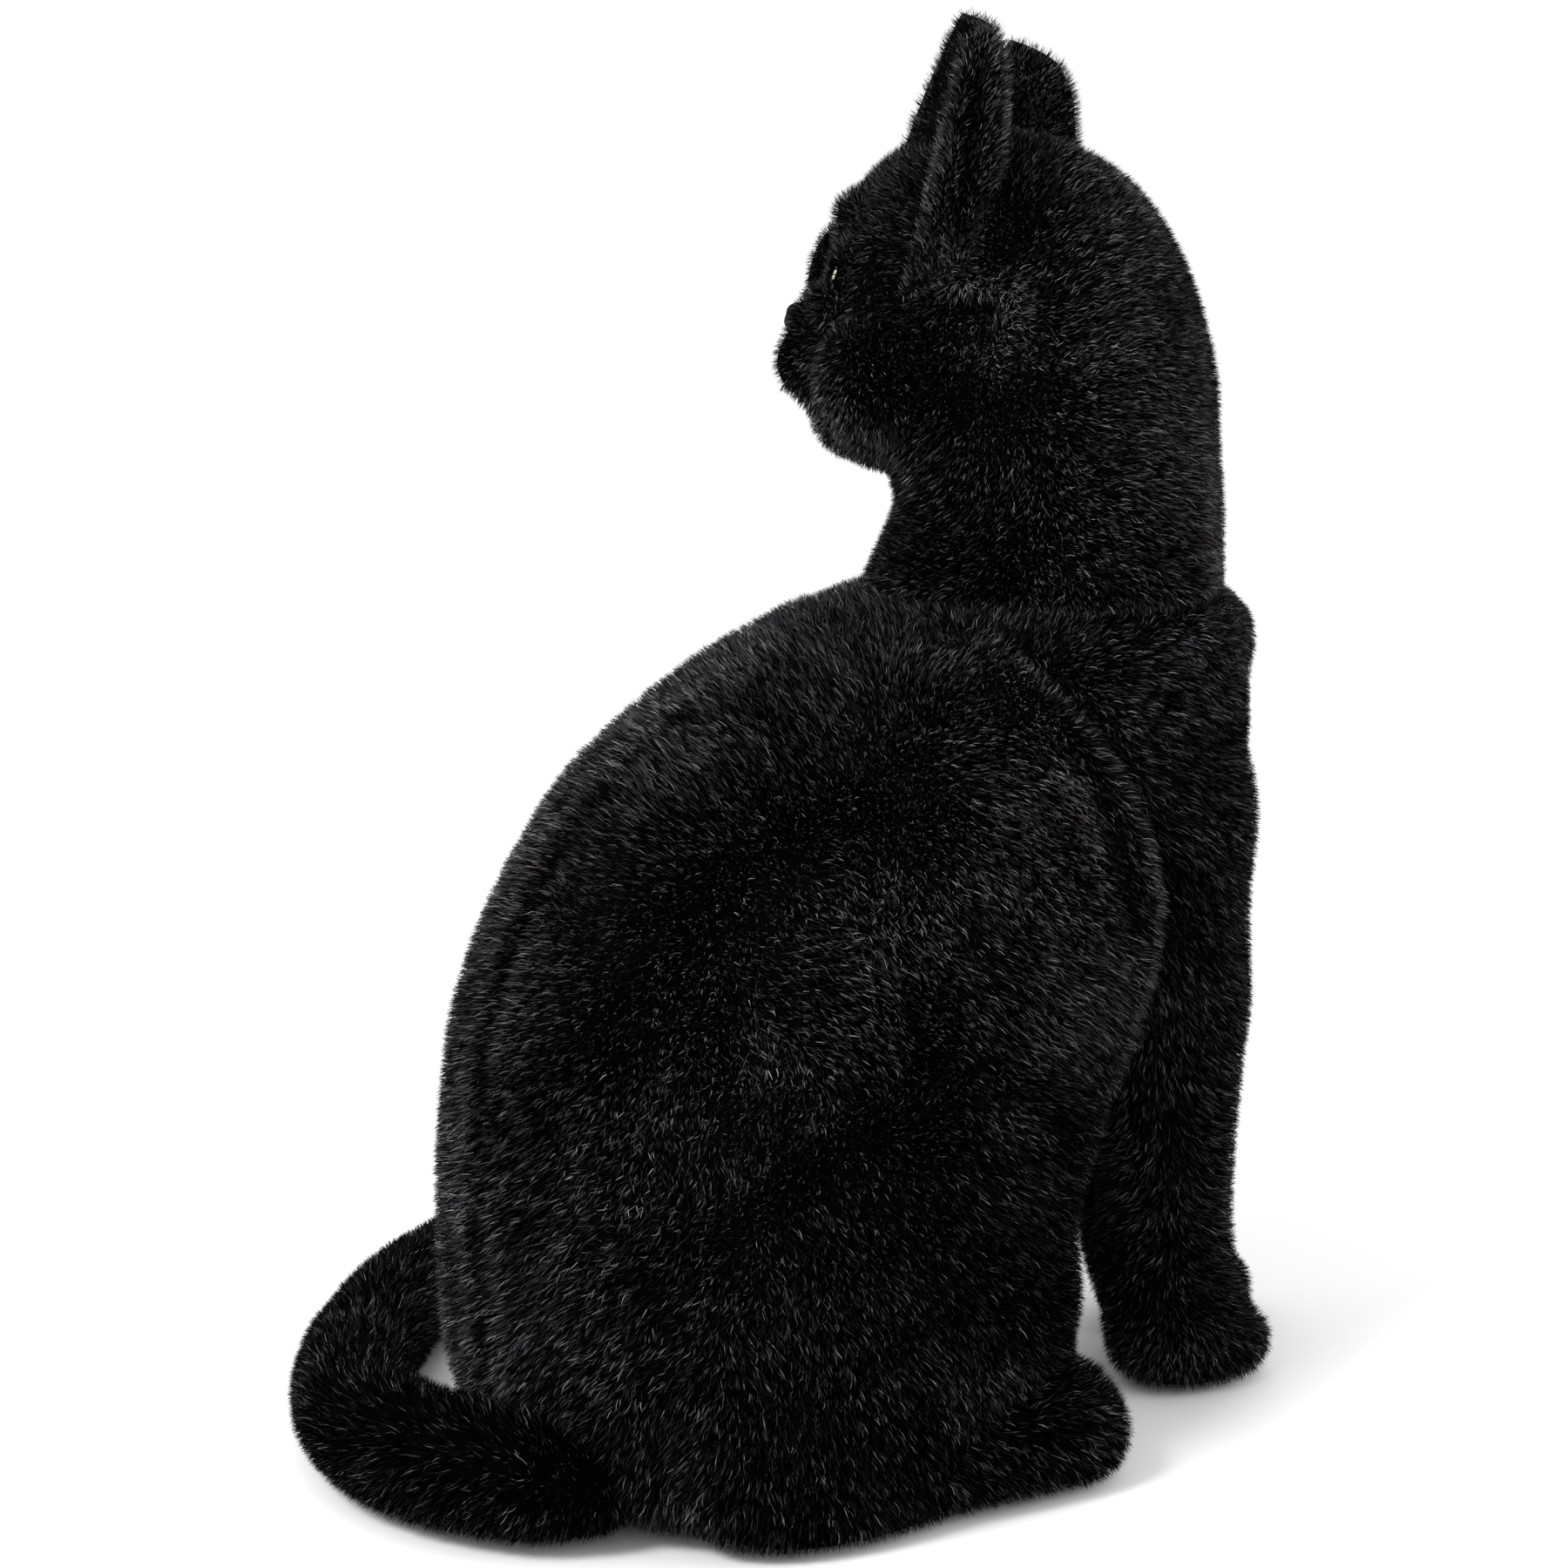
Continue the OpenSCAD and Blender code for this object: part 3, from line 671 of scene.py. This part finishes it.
def patterned_material(name, group, deep, worn, blotch, fibre, bump=0.3, bump_mm=0.2, **finish):
    """A material whose colour, roughness and relief come from a shared group."""
    m = plain_material(name, deep, **finish)
    nodes, links = m.node_tree.nodes, m.node_tree.links
    p = nodes["Principled BSDF"]
    look = nodes.new("ShaderNodeGroup")
    look.node_tree = group
    look.inputs["Deep"].default_value = (*deep, 1)
    look.inputs["Worn"].default_value = (*worn, 1)
    look.inputs["Blotch scale"].default_value = blotch
    look.inputs["Fibre scale"].default_value = fibre
    relief = nodes.new("ShaderNodeBump")
    relief.inputs["Strength"].default_value = bump
    relief.inputs["Distance"].default_value = bump_mm * MM
    links.new(look.outputs["Color"], p.inputs["Base Color"])
    links.new(look.outputs["Roughness"], p.inputs["Roughness"])
    links.new(look.outputs["Height"], relief.inputs["Height"])
    links.new(relief.outputs["Normal"], p.inputs["Normal"])
    return m


def eye_material():
    """Clear-coated dome over a pale iris with a slit pupil, round the dome's own Z axis."""
    m = plain_material("eye_acrylic", (0.6, 0.6, 0.5), roughness=0.12, coat=1.0)
    nodes, links = m.node_tree.nodes, m.node_tree.links
    p = nodes["Principled BSDF"]
    p.inputs["Coat Roughness"].default_value = 0.03
    place = nodes.new("ShaderNodeTexCoord")
    split = nodes.new("ShaderNodeSeparateXYZ")
    links.new(place.outputs["Object"], split.inputs["Vector"])
    flat = nodes.new("ShaderNodeCombineXYZ")
    links.new(split.outputs["X"], flat.inputs["X"])
    links.new(split.outputs["Y"], flat.inputs["Y"])
    radius = nodes.new("ShaderNodeVectorMath")
    radius.operation = "LENGTH"
    links.new(flat.outputs["Vector"], radius.inputs[0])
    ring = nodes.new("ShaderNodeValToRGB")
    ring.color_ramp.elements[0].position = 0.0
    ring.color_ramp.elements[0].color = (0.50, 0.42, 0.12, 1)
    ring.color_ramp.elements[1].position = 1.0
    ring.color_ramp.elements[1].color = (0.50, 0.50, 0.42, 1)
    middle = ring.color_ramp.elements.new(0.6)
    middle.color = (0.55, 0.55, 0.28, 1)
    scale = nodes.new("ShaderNodeMath")
    scale.operation = "DIVIDE"
    scale.inputs[1].default_value = EYE_RADIUS * MM
    links.new(radius.outputs["Value"], scale.inputs[0])
    rays = nodes.new("ShaderNodeTexNoise")
    rays.inputs["Scale"].default_value = 900
    links.new(place.outputs["Object"], rays.inputs["Vector"])
    wander = nodes.new("ShaderNodeMath")
    wander.operation = "MULTIPLY_ADD"
    wander.inputs[1].default_value = 0.25
    links.new(rays.outputs["Fac"], wander.inputs[0])
    links.new(scale.outputs["Value"], wander.inputs[2])
    links.new(wander.outputs["Value"], ring.inputs["Fac"])
    across = nodes.new("ShaderNodeVectorMath")
    across.operation = "MULTIPLY"
    across.inputs[1].default_value = PUPIL_SQUEEZE
    links.new(flat.outputs["Vector"], across.inputs[0])
    slit = nodes.new("ShaderNodeVectorMath")
    slit.operation = "LENGTH"
    links.new(across.outputs["Vector"], slit.inputs[0])
    edge = nodes.new("ShaderNodeMapRange")
    edge.inputs["From Min"].default_value = 5.6 * MM
    edge.inputs["From Max"].default_value = 6.2 * MM
    links.new(slit.outputs["Value"], edge.inputs["Value"])
    mix = nodes.new("ShaderNodeMix")
    mix.data_type = "RGBA"
    mix.inputs["A"].default_value = (0.002, 0.002, 0.002, 1)
    links.new(edge.outputs["Result"], mix.inputs["Factor"])
    links.new(ring.outputs["Color"], mix.inputs["B"])
    links.new(mix.outputs["Result"], p.inputs["Base Color"])
    return m


cloth = cloth_group()
skin_material = patterned_material("black_backing", cloth, (0.0006, 0.0006, 0.0007), (0.003, 0.003, 0.0033),
                                   38, 900, roughness=0.9, specular=0.0)
sole_material = patterned_material("sole_cloth", cloth, (0.01, 0.01, 0.011), (0.03, 0.03, 0.032), 60, 1500,
                                   roughness=0.9, specular=0.2)
velour_material = patterned_material("ear_velour", cloth, (0.0015, 0.0014, 0.0014), (0.006, 0.0055, 0.0055), 60, 1100,
                                     roughness=0.9, specular=0.0)
wadding_material = patterned_material("wadding", cloth, (0.7, 0.7, 0.67), (0.9, 0.9, 0.87), 90, 500, bump=0.8,
                                      bump_mm=1.0, roughness=0.95)
calico_material = patterned_material("calico", cloth, (0.55, 0.48, 0.36), (0.75, 0.68, 0.55), 70, 1600,
                                     roughness=0.9)
board_material = patterned_material("hardboard", cloth, (0.26, 0.15, 0.08), (0.42, 0.28, 0.17), 120, 900,
                                    roughness=0.7)
nose_material = patterned_material("nose_vinyl", cloth, (0.004, 0.004, 0.004), (0.012, 0.011, 0.011), 200, 1400,
                                   bump=0.5, bump_mm=0.15, roughness=0.55, specular=0.12)
zinc_material = patterned_material("zinc_steel", cloth, (0.55, 0.56, 0.58), (0.75, 0.75, 0.76), 150, 700,
                                   bump=0.1, roughness=0.35, metallic=1.0)
nylon_material = patterned_material("washer_nylon", cloth, (0.75, 0.74, 0.68), (0.88, 0.87, 0.83), 150, 900,
                                    bump=0.1, roughness=0.5)
iris_material = eye_material()
shell_material = patterned_material("eye_shell", cloth, (0.003, 0.003, 0.003), (0.01, 0.01, 0.01), 200, 900,
                                    bump=0.1, roughness=0.3)

# The lighter tones are partly the pile's own grey tips and partly painted glints.
FIBRE_TONES = [
    plain_material("fibre_jet", (0.0016, 0.0016, 0.0019), 0.7, specular=0.0),
    plain_material("fibre_black", (0.0075, 0.0073, 0.0082), 0.6, specular=0.04),
    plain_material("fibre_coal", (0.026, 0.025, 0.026), 0.5, specular=0.12),
    plain_material("fibre_slate", (0.082, 0.084, 0.095), 0.45, specular=0.25),
    plain_material("fibre_umber", (0.10, 0.082, 0.070), 0.45, specular=0.25),
    plain_material("fibre_ash", (0.25, 0.245, 0.26), 0.4, specular=0.4),
]


# ---------- torso ----------
def torso_surface():
    """The fused and sewn torso: (points, faces, which form each face belongs to, the forms' names)."""
    forms = {"body": body_form()}
    for name, side in SIDES.items():
        forms["haunch_" + name] = haunch_form(side)
        forms["hind_foot_" + name] = foot_form(side)
        forms["foreleg_" + name] = foreleg_form(side)
    points, faces = fused(forms.values())
    centres = points[faces].mean(1)
    names = list(forms)
    label = nearest_form(centres, forms.values())
    hold = held_at_joint(points)
    points = relaxed(points, faces, 9, hold)
    flat_seam = np.array([(0, y, z) for y, z in SHOULDER_SEAM])
    on_plane = points * (0, 1, 1)
    upper = ease(25, 60, np.abs(points[:, 0])) * ease(70, 110, points[:, 2])
    change = lumpy(points, 31) * ease(4, 30, points[:, 2])
    change += upper * crease(on_plane, flat_seam, 4.0, 2.6)
    change += upper * 2.2 * np.exp(-((to_line(on_plane, flat_seam + (0, 7, 2))) / 6) ** 2)
    spine = [(0, 60, 12), (0, 80, 60), (0, 82, 98), (0, 79, 132), (0, 67, 162), (0, 42, 192), (0, 6, 216)]
    change += crease(points, spine, 3.0, 1.6)
    change += 1.2 * np.exp(-((np.abs(points[:, 0]) - 7) / 5) ** 2) * np.exp(-(to_line(points, spine) / 14) ** 2)
    chest = [(0, -160, 216), (0, -158, 192), (0, -148, 162)]
    change += crease(points, chest, 3.0, 1.4)
    for side in SIDES.values():
        for toe in (-TOE_GAP, 0, TOE_GAP):
            ahead = stride(side, 8)
            paw = [(side * PAW_OUT + toe, -174 + ahead, 4), (side * PAW_OUT + toe, -170 + ahead, 14),
                   (side * PAW_OUT + toe, -160 + ahead, 22)]
            change += crease(points, paw, 2.0, 2.0)
            foot = side * (FOOT_OUT + TOE_OUT)
            change += crease(points, [(foot + toe, -85, 6), (foot + toe, -80, 20), (foot + toe, -66, 33)], 2.0, 2.0)
    points = pushed(points, faces, change * (1 - hold))
    points[:, 2] = np.maximum(points[:, 2], 0.5)
    return points, faces, label, names


def down_and_back(p):
    """The nap of the back, parting along the spine."""
    return np.stack([0.15 * np.sign(p[:, 0]), np.full(len(p), 0.45), np.full(len(p), -1.0)], 1)


def clear_of_sole(p):
    """No pile grows on the flat underside."""
    return ease(1.5, 6, p[:, 2])


def behind_seam(p):
    """Whether points lie behind the shoulder seam."""
    ys, zs = np.array(SHOULDER_SEAM).T
    return p[:, 1] > np.interp(p[:, 2], zs, ys)


def make_torso():
    points, faces, label, names = torso_surface()
    centres = points[faces].mean(1)
    is_body = label == names.index("body")
    back = behind_seam(centres)
    # Each panel has its faces, the way its nap runs, and its painted shade for how the light falls on it: higher is
    # darker.
    panels = {
        "back_panel_left": (is_body & back & (centres[:, 0] >= 0), down_and_back, 0.58),
        "back_panel_right": (is_body & back & (centres[:, 0] < 0), down_and_back, 0.58),
        "chest_panel": (is_body & ~back, (0, 0.1, -1), 1.8),
    }
    # Each limb's nap and painted shade.
    limbs = (("haunch_", (0, 0.5, -1), 1.1), ("hind_foot_", (0, -1, -0.3), 1.2), ("foreleg_", (0, 0.05, -1), 0.95))
    for name in SIDES:
        for limb, flow, painted_shade in limbs:
            panels[limb + name] = (label == names.index(limb + name), flow, painted_shade)
    seam_painted_light = painted_light_along(TORSO_PAINTED_LIGHT)

    def collar_painted_light(p):
        """The chest's painted shade, lighter towards the neck so it eases into the neck's painted shade where the two
        meet, with the seams' painted light.
        """
        return seam_painted_light(p) + 0.6 * ease(185, 236, p[:, 2])

    for i, (part, (chosen, flow, painted_shade)) in enumerate(panels.items()):
        p, f = part_of(points, faces, chosen)
        sewn_piece("skin_" + part, p, f, "torso", [part], skin_material)
        pile("pile_" + part, p, f, "torso", comb_from(flow, seed=3), FIBRE_TONES, seed=100 + i,
             keep=clear_of_sole, painted_shade=painted_shade, painted_light=collar_painted_light if part == "chest_panel" else seam_painted_light)


# ---------- tail ----------
def make_tail():
    path = tail_path()
    points, faces = fused([tail_form(), ball(path[0], (TAIL_RADIUS,) * 3)])
    points = relaxed(points, faces, 6)
    points = pushed(points, faces, lumpy(points, 61) * 0.7)
    points[:, 2] = np.maximum(points[:, 2], 0.6)
    heading = unit(np.gradient(path, axis=0))

    def along(p):
        near = ((p[:, None] - path[None]) ** 2).sum(2).argmin(1)
        return heading[near]

    sewn_piece("skin_tail", points, faces, "tail", ["tail_skin"], skin_material)
    # The tail's pile is painted darker: painted shade where it lies low on the floor.
    pile("pile_tail", points, faces, "tail", comb_from(along, 0.8, 9), FIBRE_TONES, seed=201, keep=clear_of_sole,
         painted_shade=1.9)


# ---------- head ----------
def eye_place(side):
    """The eye's own frame in metres, +Z out of the head and +Y up, with its centre and +Z in the part's frame."""
    centre = on_head([(side * EYE_OUT, -EYE_FORWARD, EYE_HEIGHT)])[0]
    turn, lift = math.radians(EYE_TURN) * side, math.radians(EYE_RAISE)
    out = unit(head_direction((math.sin(turn) * math.cos(lift), -math.cos(turn) * math.cos(lift), math.sin(lift))))
    up = head_direction((0, 0, 1))
    up = unit(up - out * (up @ out))
    right = np.cross(up, out)
    m = Matrix.Identity(4)
    for row in range(3):
        for column, axis in enumerate((right, up, out)):
            m[row][column] = axis[row]
        m[row][3] = centre[row] * MM
    return m, centre, out


def away_from_eyes(p):
    """From 0 at an eye to 1 away from it."""
    clear = np.ones(len(p))
    for side in SIDES.values():
        centre = eye_place(side)[1]
        clear = np.minimum(clear, ease(EYE_RADIUS - 1.0, EYE_RADIUS + 4, np.linalg.norm(p - centre, axis=1)))
    return clear


def head_surface():
    """The fused head with its eye sockets, seams and folds."""
    points, faces = fused([head_form(), muzzle_form(), *face_forms()])
    hold = held_at_joint(points)
    points = relaxed(points, faces, 10, hold)
    local = off_head(points)
    change = lumpy(points, 71) * 0.8
    for side in SIDES.values():
        centre, out = eye_place(side)[1:]
        away = np.linalg.norm(points - centre, axis=1)
        change += 2.6 * np.exp(-((away - EYE_RADIUS - 1.2) / 2.8) ** 2)
        change -= 2.0 * np.exp(-(away / 6.0) ** 2)
        ahead = lambda x, y, z: (side * x, y, z)
        mouth = [(0, -79, 303), ahead(3, -79, 297), ahead(10, -74, 290), ahead(17, -64, 288), ahead(21, -54, 290)]
        change += crease(local, mouth, 2.0, 2.6)
        brow = [ahead(16, -48, 358), ahead(16, -54, 352), ahead(18, -57, 344), ahead(22, -56, 336)]
        change += 1.4 * np.exp(-(to_line(local, brow) / 3.5) ** 2)
        patch = [ahead(47.5, -13, 321), ahead(47.5, 6, 320), ahead(47.5, 5, 310), ahead(47.5, 0, 298)]
        change += 2.0 * np.exp(-(to_line(local, patch) / 3.2) ** 2)
        change += crease(local, [ahead(48, -9, 315.5), ahead(48, -2.5, 314.5)], 2.2, 2.6)
        change += crease(local, [ahead(22, -54, 290), ahead(24, -40, 284), ahead(28, -26, 285)], 3.0, 1.8)
    lip = [(0, -84, 312), (0, -82, 303)]
    change += crease(local, lip, 1.8, 1.6)
    crown = [(0, -50, 360), (0, -34, 367), (0, -5, 367), (0, 15, 358), (0, 33, 340), (0, 46, 310)]
    change += crease(local, crown, 2.5, 1.2)
    return pushed(points, faces, change * (1 - hold)), faces


def backwards(p):
    """The face's nap, from the nose back and down."""
    local = off_head(p)
    flow = np.stack([local[:, 0] * 0.012, np.full(len(p), 1.0), -0.35 - 0.01 * np.maximum(-local[:, 1] - 40, 0)], 1)
    columns = np.array([head_direction(v) for v in np.eye(3)])
    fall = ease(0, 14, p[:, 2] - JOINT_HEIGHT)[:, None]
    return unit(flow @ columns) * fall + np.array((0, 0, -1.0)) * (1 - fall)


def make_head():
    points, faces = head_surface()
    centres = off_head(points[faces].mean(1))
    muzzle = (centres[:, 1] < -MUZZLE_START) & (centres[:, 2] < MUZZLE_TOP)

    def face_pile(p):
        """Thinner towards the nose, and none on the eyes."""
        ahead = -off_head(p)[:, 1]
        return away_from_eyes(p) * (1 - 0.55 * ease(56, 74, ahead))

    choices = {"muzzle": muzzle, "head_panel_left": ~muzzle & (centres[:, 0] >= 0),
               "head_panel_right": ~muzzle & (centres[:, 0] < 0)}
    for i, (part, chosen) in enumerate(choices.items()):
        p, f = part_of(points, faces, chosen)
        sewn_piece("skin_" + part, p, f, "head", [part], skin_material)
        # The head's pile is painted a little lighter, with painted highlights and shade along its seams and folds.
        pile("pile_" + part, p, f, "head", comb_from(backwards, 0.9, 13), FIBRE_TONES, seed=300 + i,
             length=3.4, keep=face_pile, painted_shade=0.85, painted_light=painted_light_along(HEAD_PAINTED_LIGHT, off_head))


def make_eye(name, side):
    """A domed eye with its rim and stem, turned on a lathe."""
    place = eye_place(side)[0]
    dome = [(EYE_RADIUS * math.cos(a), -0.5 + 4.0 * math.sin(a)) for a in np.radians(np.linspace(90, 0, 14))]
    shell = [(EYE_RADIUS + 0.15, -0.7), (EYE_RADIUS - 0.3, -2.4), (2.6, -2.6), (2.4, -16.5), (0.01, -17)]
    profile = np.array(dome + shell)
    turns = 48
    around = np.arange(turns) * 2 * math.pi / turns
    rings = [np.stack([r * np.cos(around), r * np.sin(around), np.full(turns, h)], 1)
             for r, h in np.maximum(profile, (0.02, -99))]
    points, faces = loft(rings[::-1])
    ob = new_object("domed_eye_" + name, new_mesh("domed_eye_" + name, points, faces))
    for material in (iris_material, shell_material):
        ob.data.materials.append(material)
    shade_smooth(ob.data)
    for polygon in ob.data.polygons:
        polygon.material_index = 0 if polygon.center.z > -0.6 * MM else 1
    ob.matrix_world = place
    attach(ob, "head")
    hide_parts("eye_" + name)


def make_nose():
    """A rounded three-cornered pad with two nostrils."""
    n = 40
    rings = []
    for j in range(1, 20):
        a = math.pi * j / 20
        r = oval(n, 2.2) * math.sin(a)
        x = r[:, 0] * (NOSE_HALF_WIDTH + 2.2 * r[:, 1])
        z = r[:, 1] * NOSE_HALF_HEIGHT
        rings.append(np.stack([x, np.full(n, NOSE_HALF_DEPTH * math.cos(a)), z], 1))
    points, faces = loft(rings)
    for side in SIDES.values():
        away = np.hypot(points[:, 0] - side * 3.6, points[:, 2] + 0.6)
        points[:, 1] += 1.8 * np.exp(-(away / 1.3) ** 2) * (points[:, 1] < 0)
    points[:, 1] += 0.9 * np.exp(-(points[:, 0] / 0.7) ** 2) * (points[:, 1] < 0) * (points[:, 2] < 0)
    tilt = math.radians(NOSE_TILT)
    y = points[:, 1] * math.cos(tilt) - points[:, 2] * math.sin(tilt)
    z = points[:, 1] * math.sin(tilt) + points[:, 2] * math.cos(tilt)
    local = np.stack([points[:, 0], y - NOSE_FORWARD, z + NOSE_HEIGHT], 1)
    ob = new_object("nose_pad", new_mesh("nose_pad", on_head(local), faces))
    shade_smooth(ob.data)
    ob.data.materials.append(nose_material)
    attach(ob, "head")
    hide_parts("nose")


# ---------- ears ----------
def ear_sheet(side, low, high, inset, folds):
    """A cupped layer between two lifts, with rounded edges: (points, quads)."""
    across, along = 34, 40
    s_line = np.linspace(inset, 1 - inset, across)
    t_line = np.linspace(-0.25, 0.985 - inset, along)
    s, t = (a.ravel() for a in np.meshgrid(s_line, t_line))
    round_off = (1 - np.abs((s - 0.5) / (0.5 - inset)) ** 4) ** 0.5 * (1 - ease(0.75, 1.0, t) ** 2) ** 0.5
    middle = (low + high) / 2
    half = (high - low) / 2
    ridge = folds * ease(-0.1, 0.4, t) * (1 - ease(0.75, 1.0, t))
    fold = ridge * (np.exp(-((s - 0.56) / 0.06) ** 2) + np.exp(-((s - 0.9) / 0.06) ** 2))
    outer = ear_point(s, t, middle + half * round_off + fold)
    inner = ear_point(s, t, middle - half * round_off)
    n = across * along
    grid = lambda j, i: j * across + i
    quads = []
    for j in range(along - 1):
        for i in range(across - 1):
            a, b, c, d = grid(j, i), grid(j, i + 1), grid(j + 1, i + 1), grid(j + 1, i)
            quads += [(d, c, b, a), (a + n, b + n, c + n, d + n)]
    for i in range(across - 1):
        quads += [(grid(0, i), grid(0, i + 1), grid(0, i + 1) + n, grid(0, i) + n)]
        j = along - 1
        quads += [(grid(j, i + 1), grid(j, i), grid(j, i) + n, grid(j, i + 1) + n)]
    for j in range(along - 1):
        quads += [(grid(j + 1, 0), grid(j, 0), grid(j, 0) + n, grid(j + 1, 0) + n)]
        i = across - 1
        quads += [(grid(j, i), grid(j + 1, i), grid(j + 1, i) + n, grid(j, i) + n)]
    points = on_head(np.concatenate([outer, inner]) * (side, 1, 1))
    faces = np.array(quads)
    return points, faces if side > 0 else faces[:, ::-1]


def make_ears():
    up = head_direction((0, 0.1, 1))
    for i, (name, side) in enumerate(SIDES.items()):
        points, faces = ear_sheet(side, -0.4, 3.6, 0.0, 2.0)
        sewn_piece("skin_ear_back_" + name, points, faces, "head", ["ear_back_" + name], skin_material)
        # The ear backs' pile is painted much lighter: painted light on the lit ear backs, with painted highlights and
        # shade along their folds.
        pile("pile_ear_back_" + name, points, faces, "head", comb_from(up, 0.5, 17), FIBRE_TONES, seed=400 + i,
             length=3.0, density=3.4, width=0.21, painted_shade=0.36, painted_light=painted_light_along(EAR_PAINTED_LIGHT, off_head))
        points, faces = ear_sheet(side, -1.9, -0.4, 0.05, 0.0)
        sewn_piece("skin_ear_lining_" + name, points, faces, "head", ["ear_lining_" + name], velour_material)
        # The lining's pile is painted darkest: painted shade in the ear's hollow.
        pile("pile_ear_lining_" + name, points, faces, "head", comb_from(up, 0.7, 19), FIBRE_TONES, seed=410 + i,
             length=1.8, density=2.2, width=0.22, painted_shade=3.0)


# ---------- inside ----------
def make_filling(node, body):
    """Loose fibre in place of a CAD filling, drawn in from its skin."""
    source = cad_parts[node]
    points, faces = mesh_arrays(source.data)
    points, faces = fused([(points, as_tuples(faces))], FILLING_VOXEL)
    points = relaxed(points, faces, 4)
    points = pushed(points, faces, -FILLING_GAP + 0.5 * noise(points, 12, 81))
    sewn_piece("wadding_" + node, points, faces, body, [node], wadding_material)


def dress_inside():
    """Finishes for the pieces that keep their CAD shape, and the fillings."""
    finishes = {
        "seat_panel": sole_material, "pellet_bag": calico_material, "body_disc": board_material,
        "head_disc": board_material, "joint_bolt": zinc_material, "joint_washer": zinc_material,
        "joint_nut": zinc_material, "eye_washer_left": nylon_material, "eye_washer_right": nylon_material,
    }
    for node, material in finishes.items():
        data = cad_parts[node].data
        data.materials.clear()
        data.materials.append(material)
    for node, body in (("body_stuffing", "torso"), ("haunch_stuffing_left", "torso"),
                       ("haunch_stuffing_right", "torso"), ("foreleg_stuffing_left", "torso"),
                       ("foreleg_stuffing_right", "torso"), ("tail_stuffing", "tail"),
                       ("head_stuffing", "head")):
        make_filling(node, body)


# ---------- studio ----------
def make_studio():
    square = np.array([(-1, -1, 0), (1, -1, 0), (1, 1, 0), (-1, 1, 0)])
    floor = new_object("floor", new_mesh("floor", square * FLOOR_HALF_SIDE / MM, [(0, 1, 2, 3)]))
    floor.data.materials.append(plain_material("floor_white", (0.96, 0.96, 0.96), 0.9, specular=0.0))
    world = bpy.data.worlds.new("studio")
    bpy.context.scene.world = world
    world.use_nodes = True
    background = world.node_tree.nodes["Background"]
    background.inputs["Color"].default_value = (1, 1, 1, 1)
    background.inputs["Strength"].default_value = 1.05

    def softbox(name, place, size, power):
        light = bpy.data.lights.new(name, "AREA")
        light.shape = "DISK"
        light.size = size
        light.energy = power
        ob = new_object(name, light)
        ob.location = place
        ob.rotation_euler = (Vector(LIGHTS_AIM) - Vector(place)).to_track_quat("-Z", "Y").to_euler()

    softbox("key", (-0.3, 1.5, 1.7), 0.7, 34)
    softbox("fill", (-1.5, -1.1, 1.2), 1.2, 8)


def make_camera():
    """Stands behind the cat's right side, a little above its head, and looks down at it."""
    camera = bpy.data.cameras.new("camera")
    camera.lens = CAMERA_LENS
    camera.sensor_width = CAMERA_SENSOR
    ob = new_object("camera", camera)
    ob.location = CAMERA_PLACE
    pitch = math.radians(CAMERA_PITCH)
    heading = math.radians(CAMERA_HEADING)
    look = Vector((math.cos(heading) * math.cos(pitch), math.sin(heading) * math.cos(pitch), math.sin(pitch)))
    ob.rotation_euler = look.to_track_quat("-Z", "Y").to_euler()
    bpy.context.scene.camera = ob
    bpy.context.scene.view_settings.view_transform = "Standard"


make_camera()
make_studio()
make_torso()
make_tail()
make_head()
for eye_name, eye_side in SIDES.items():
    make_eye(eye_name, eye_side)
make_nose()
make_ears()
dress_inside()
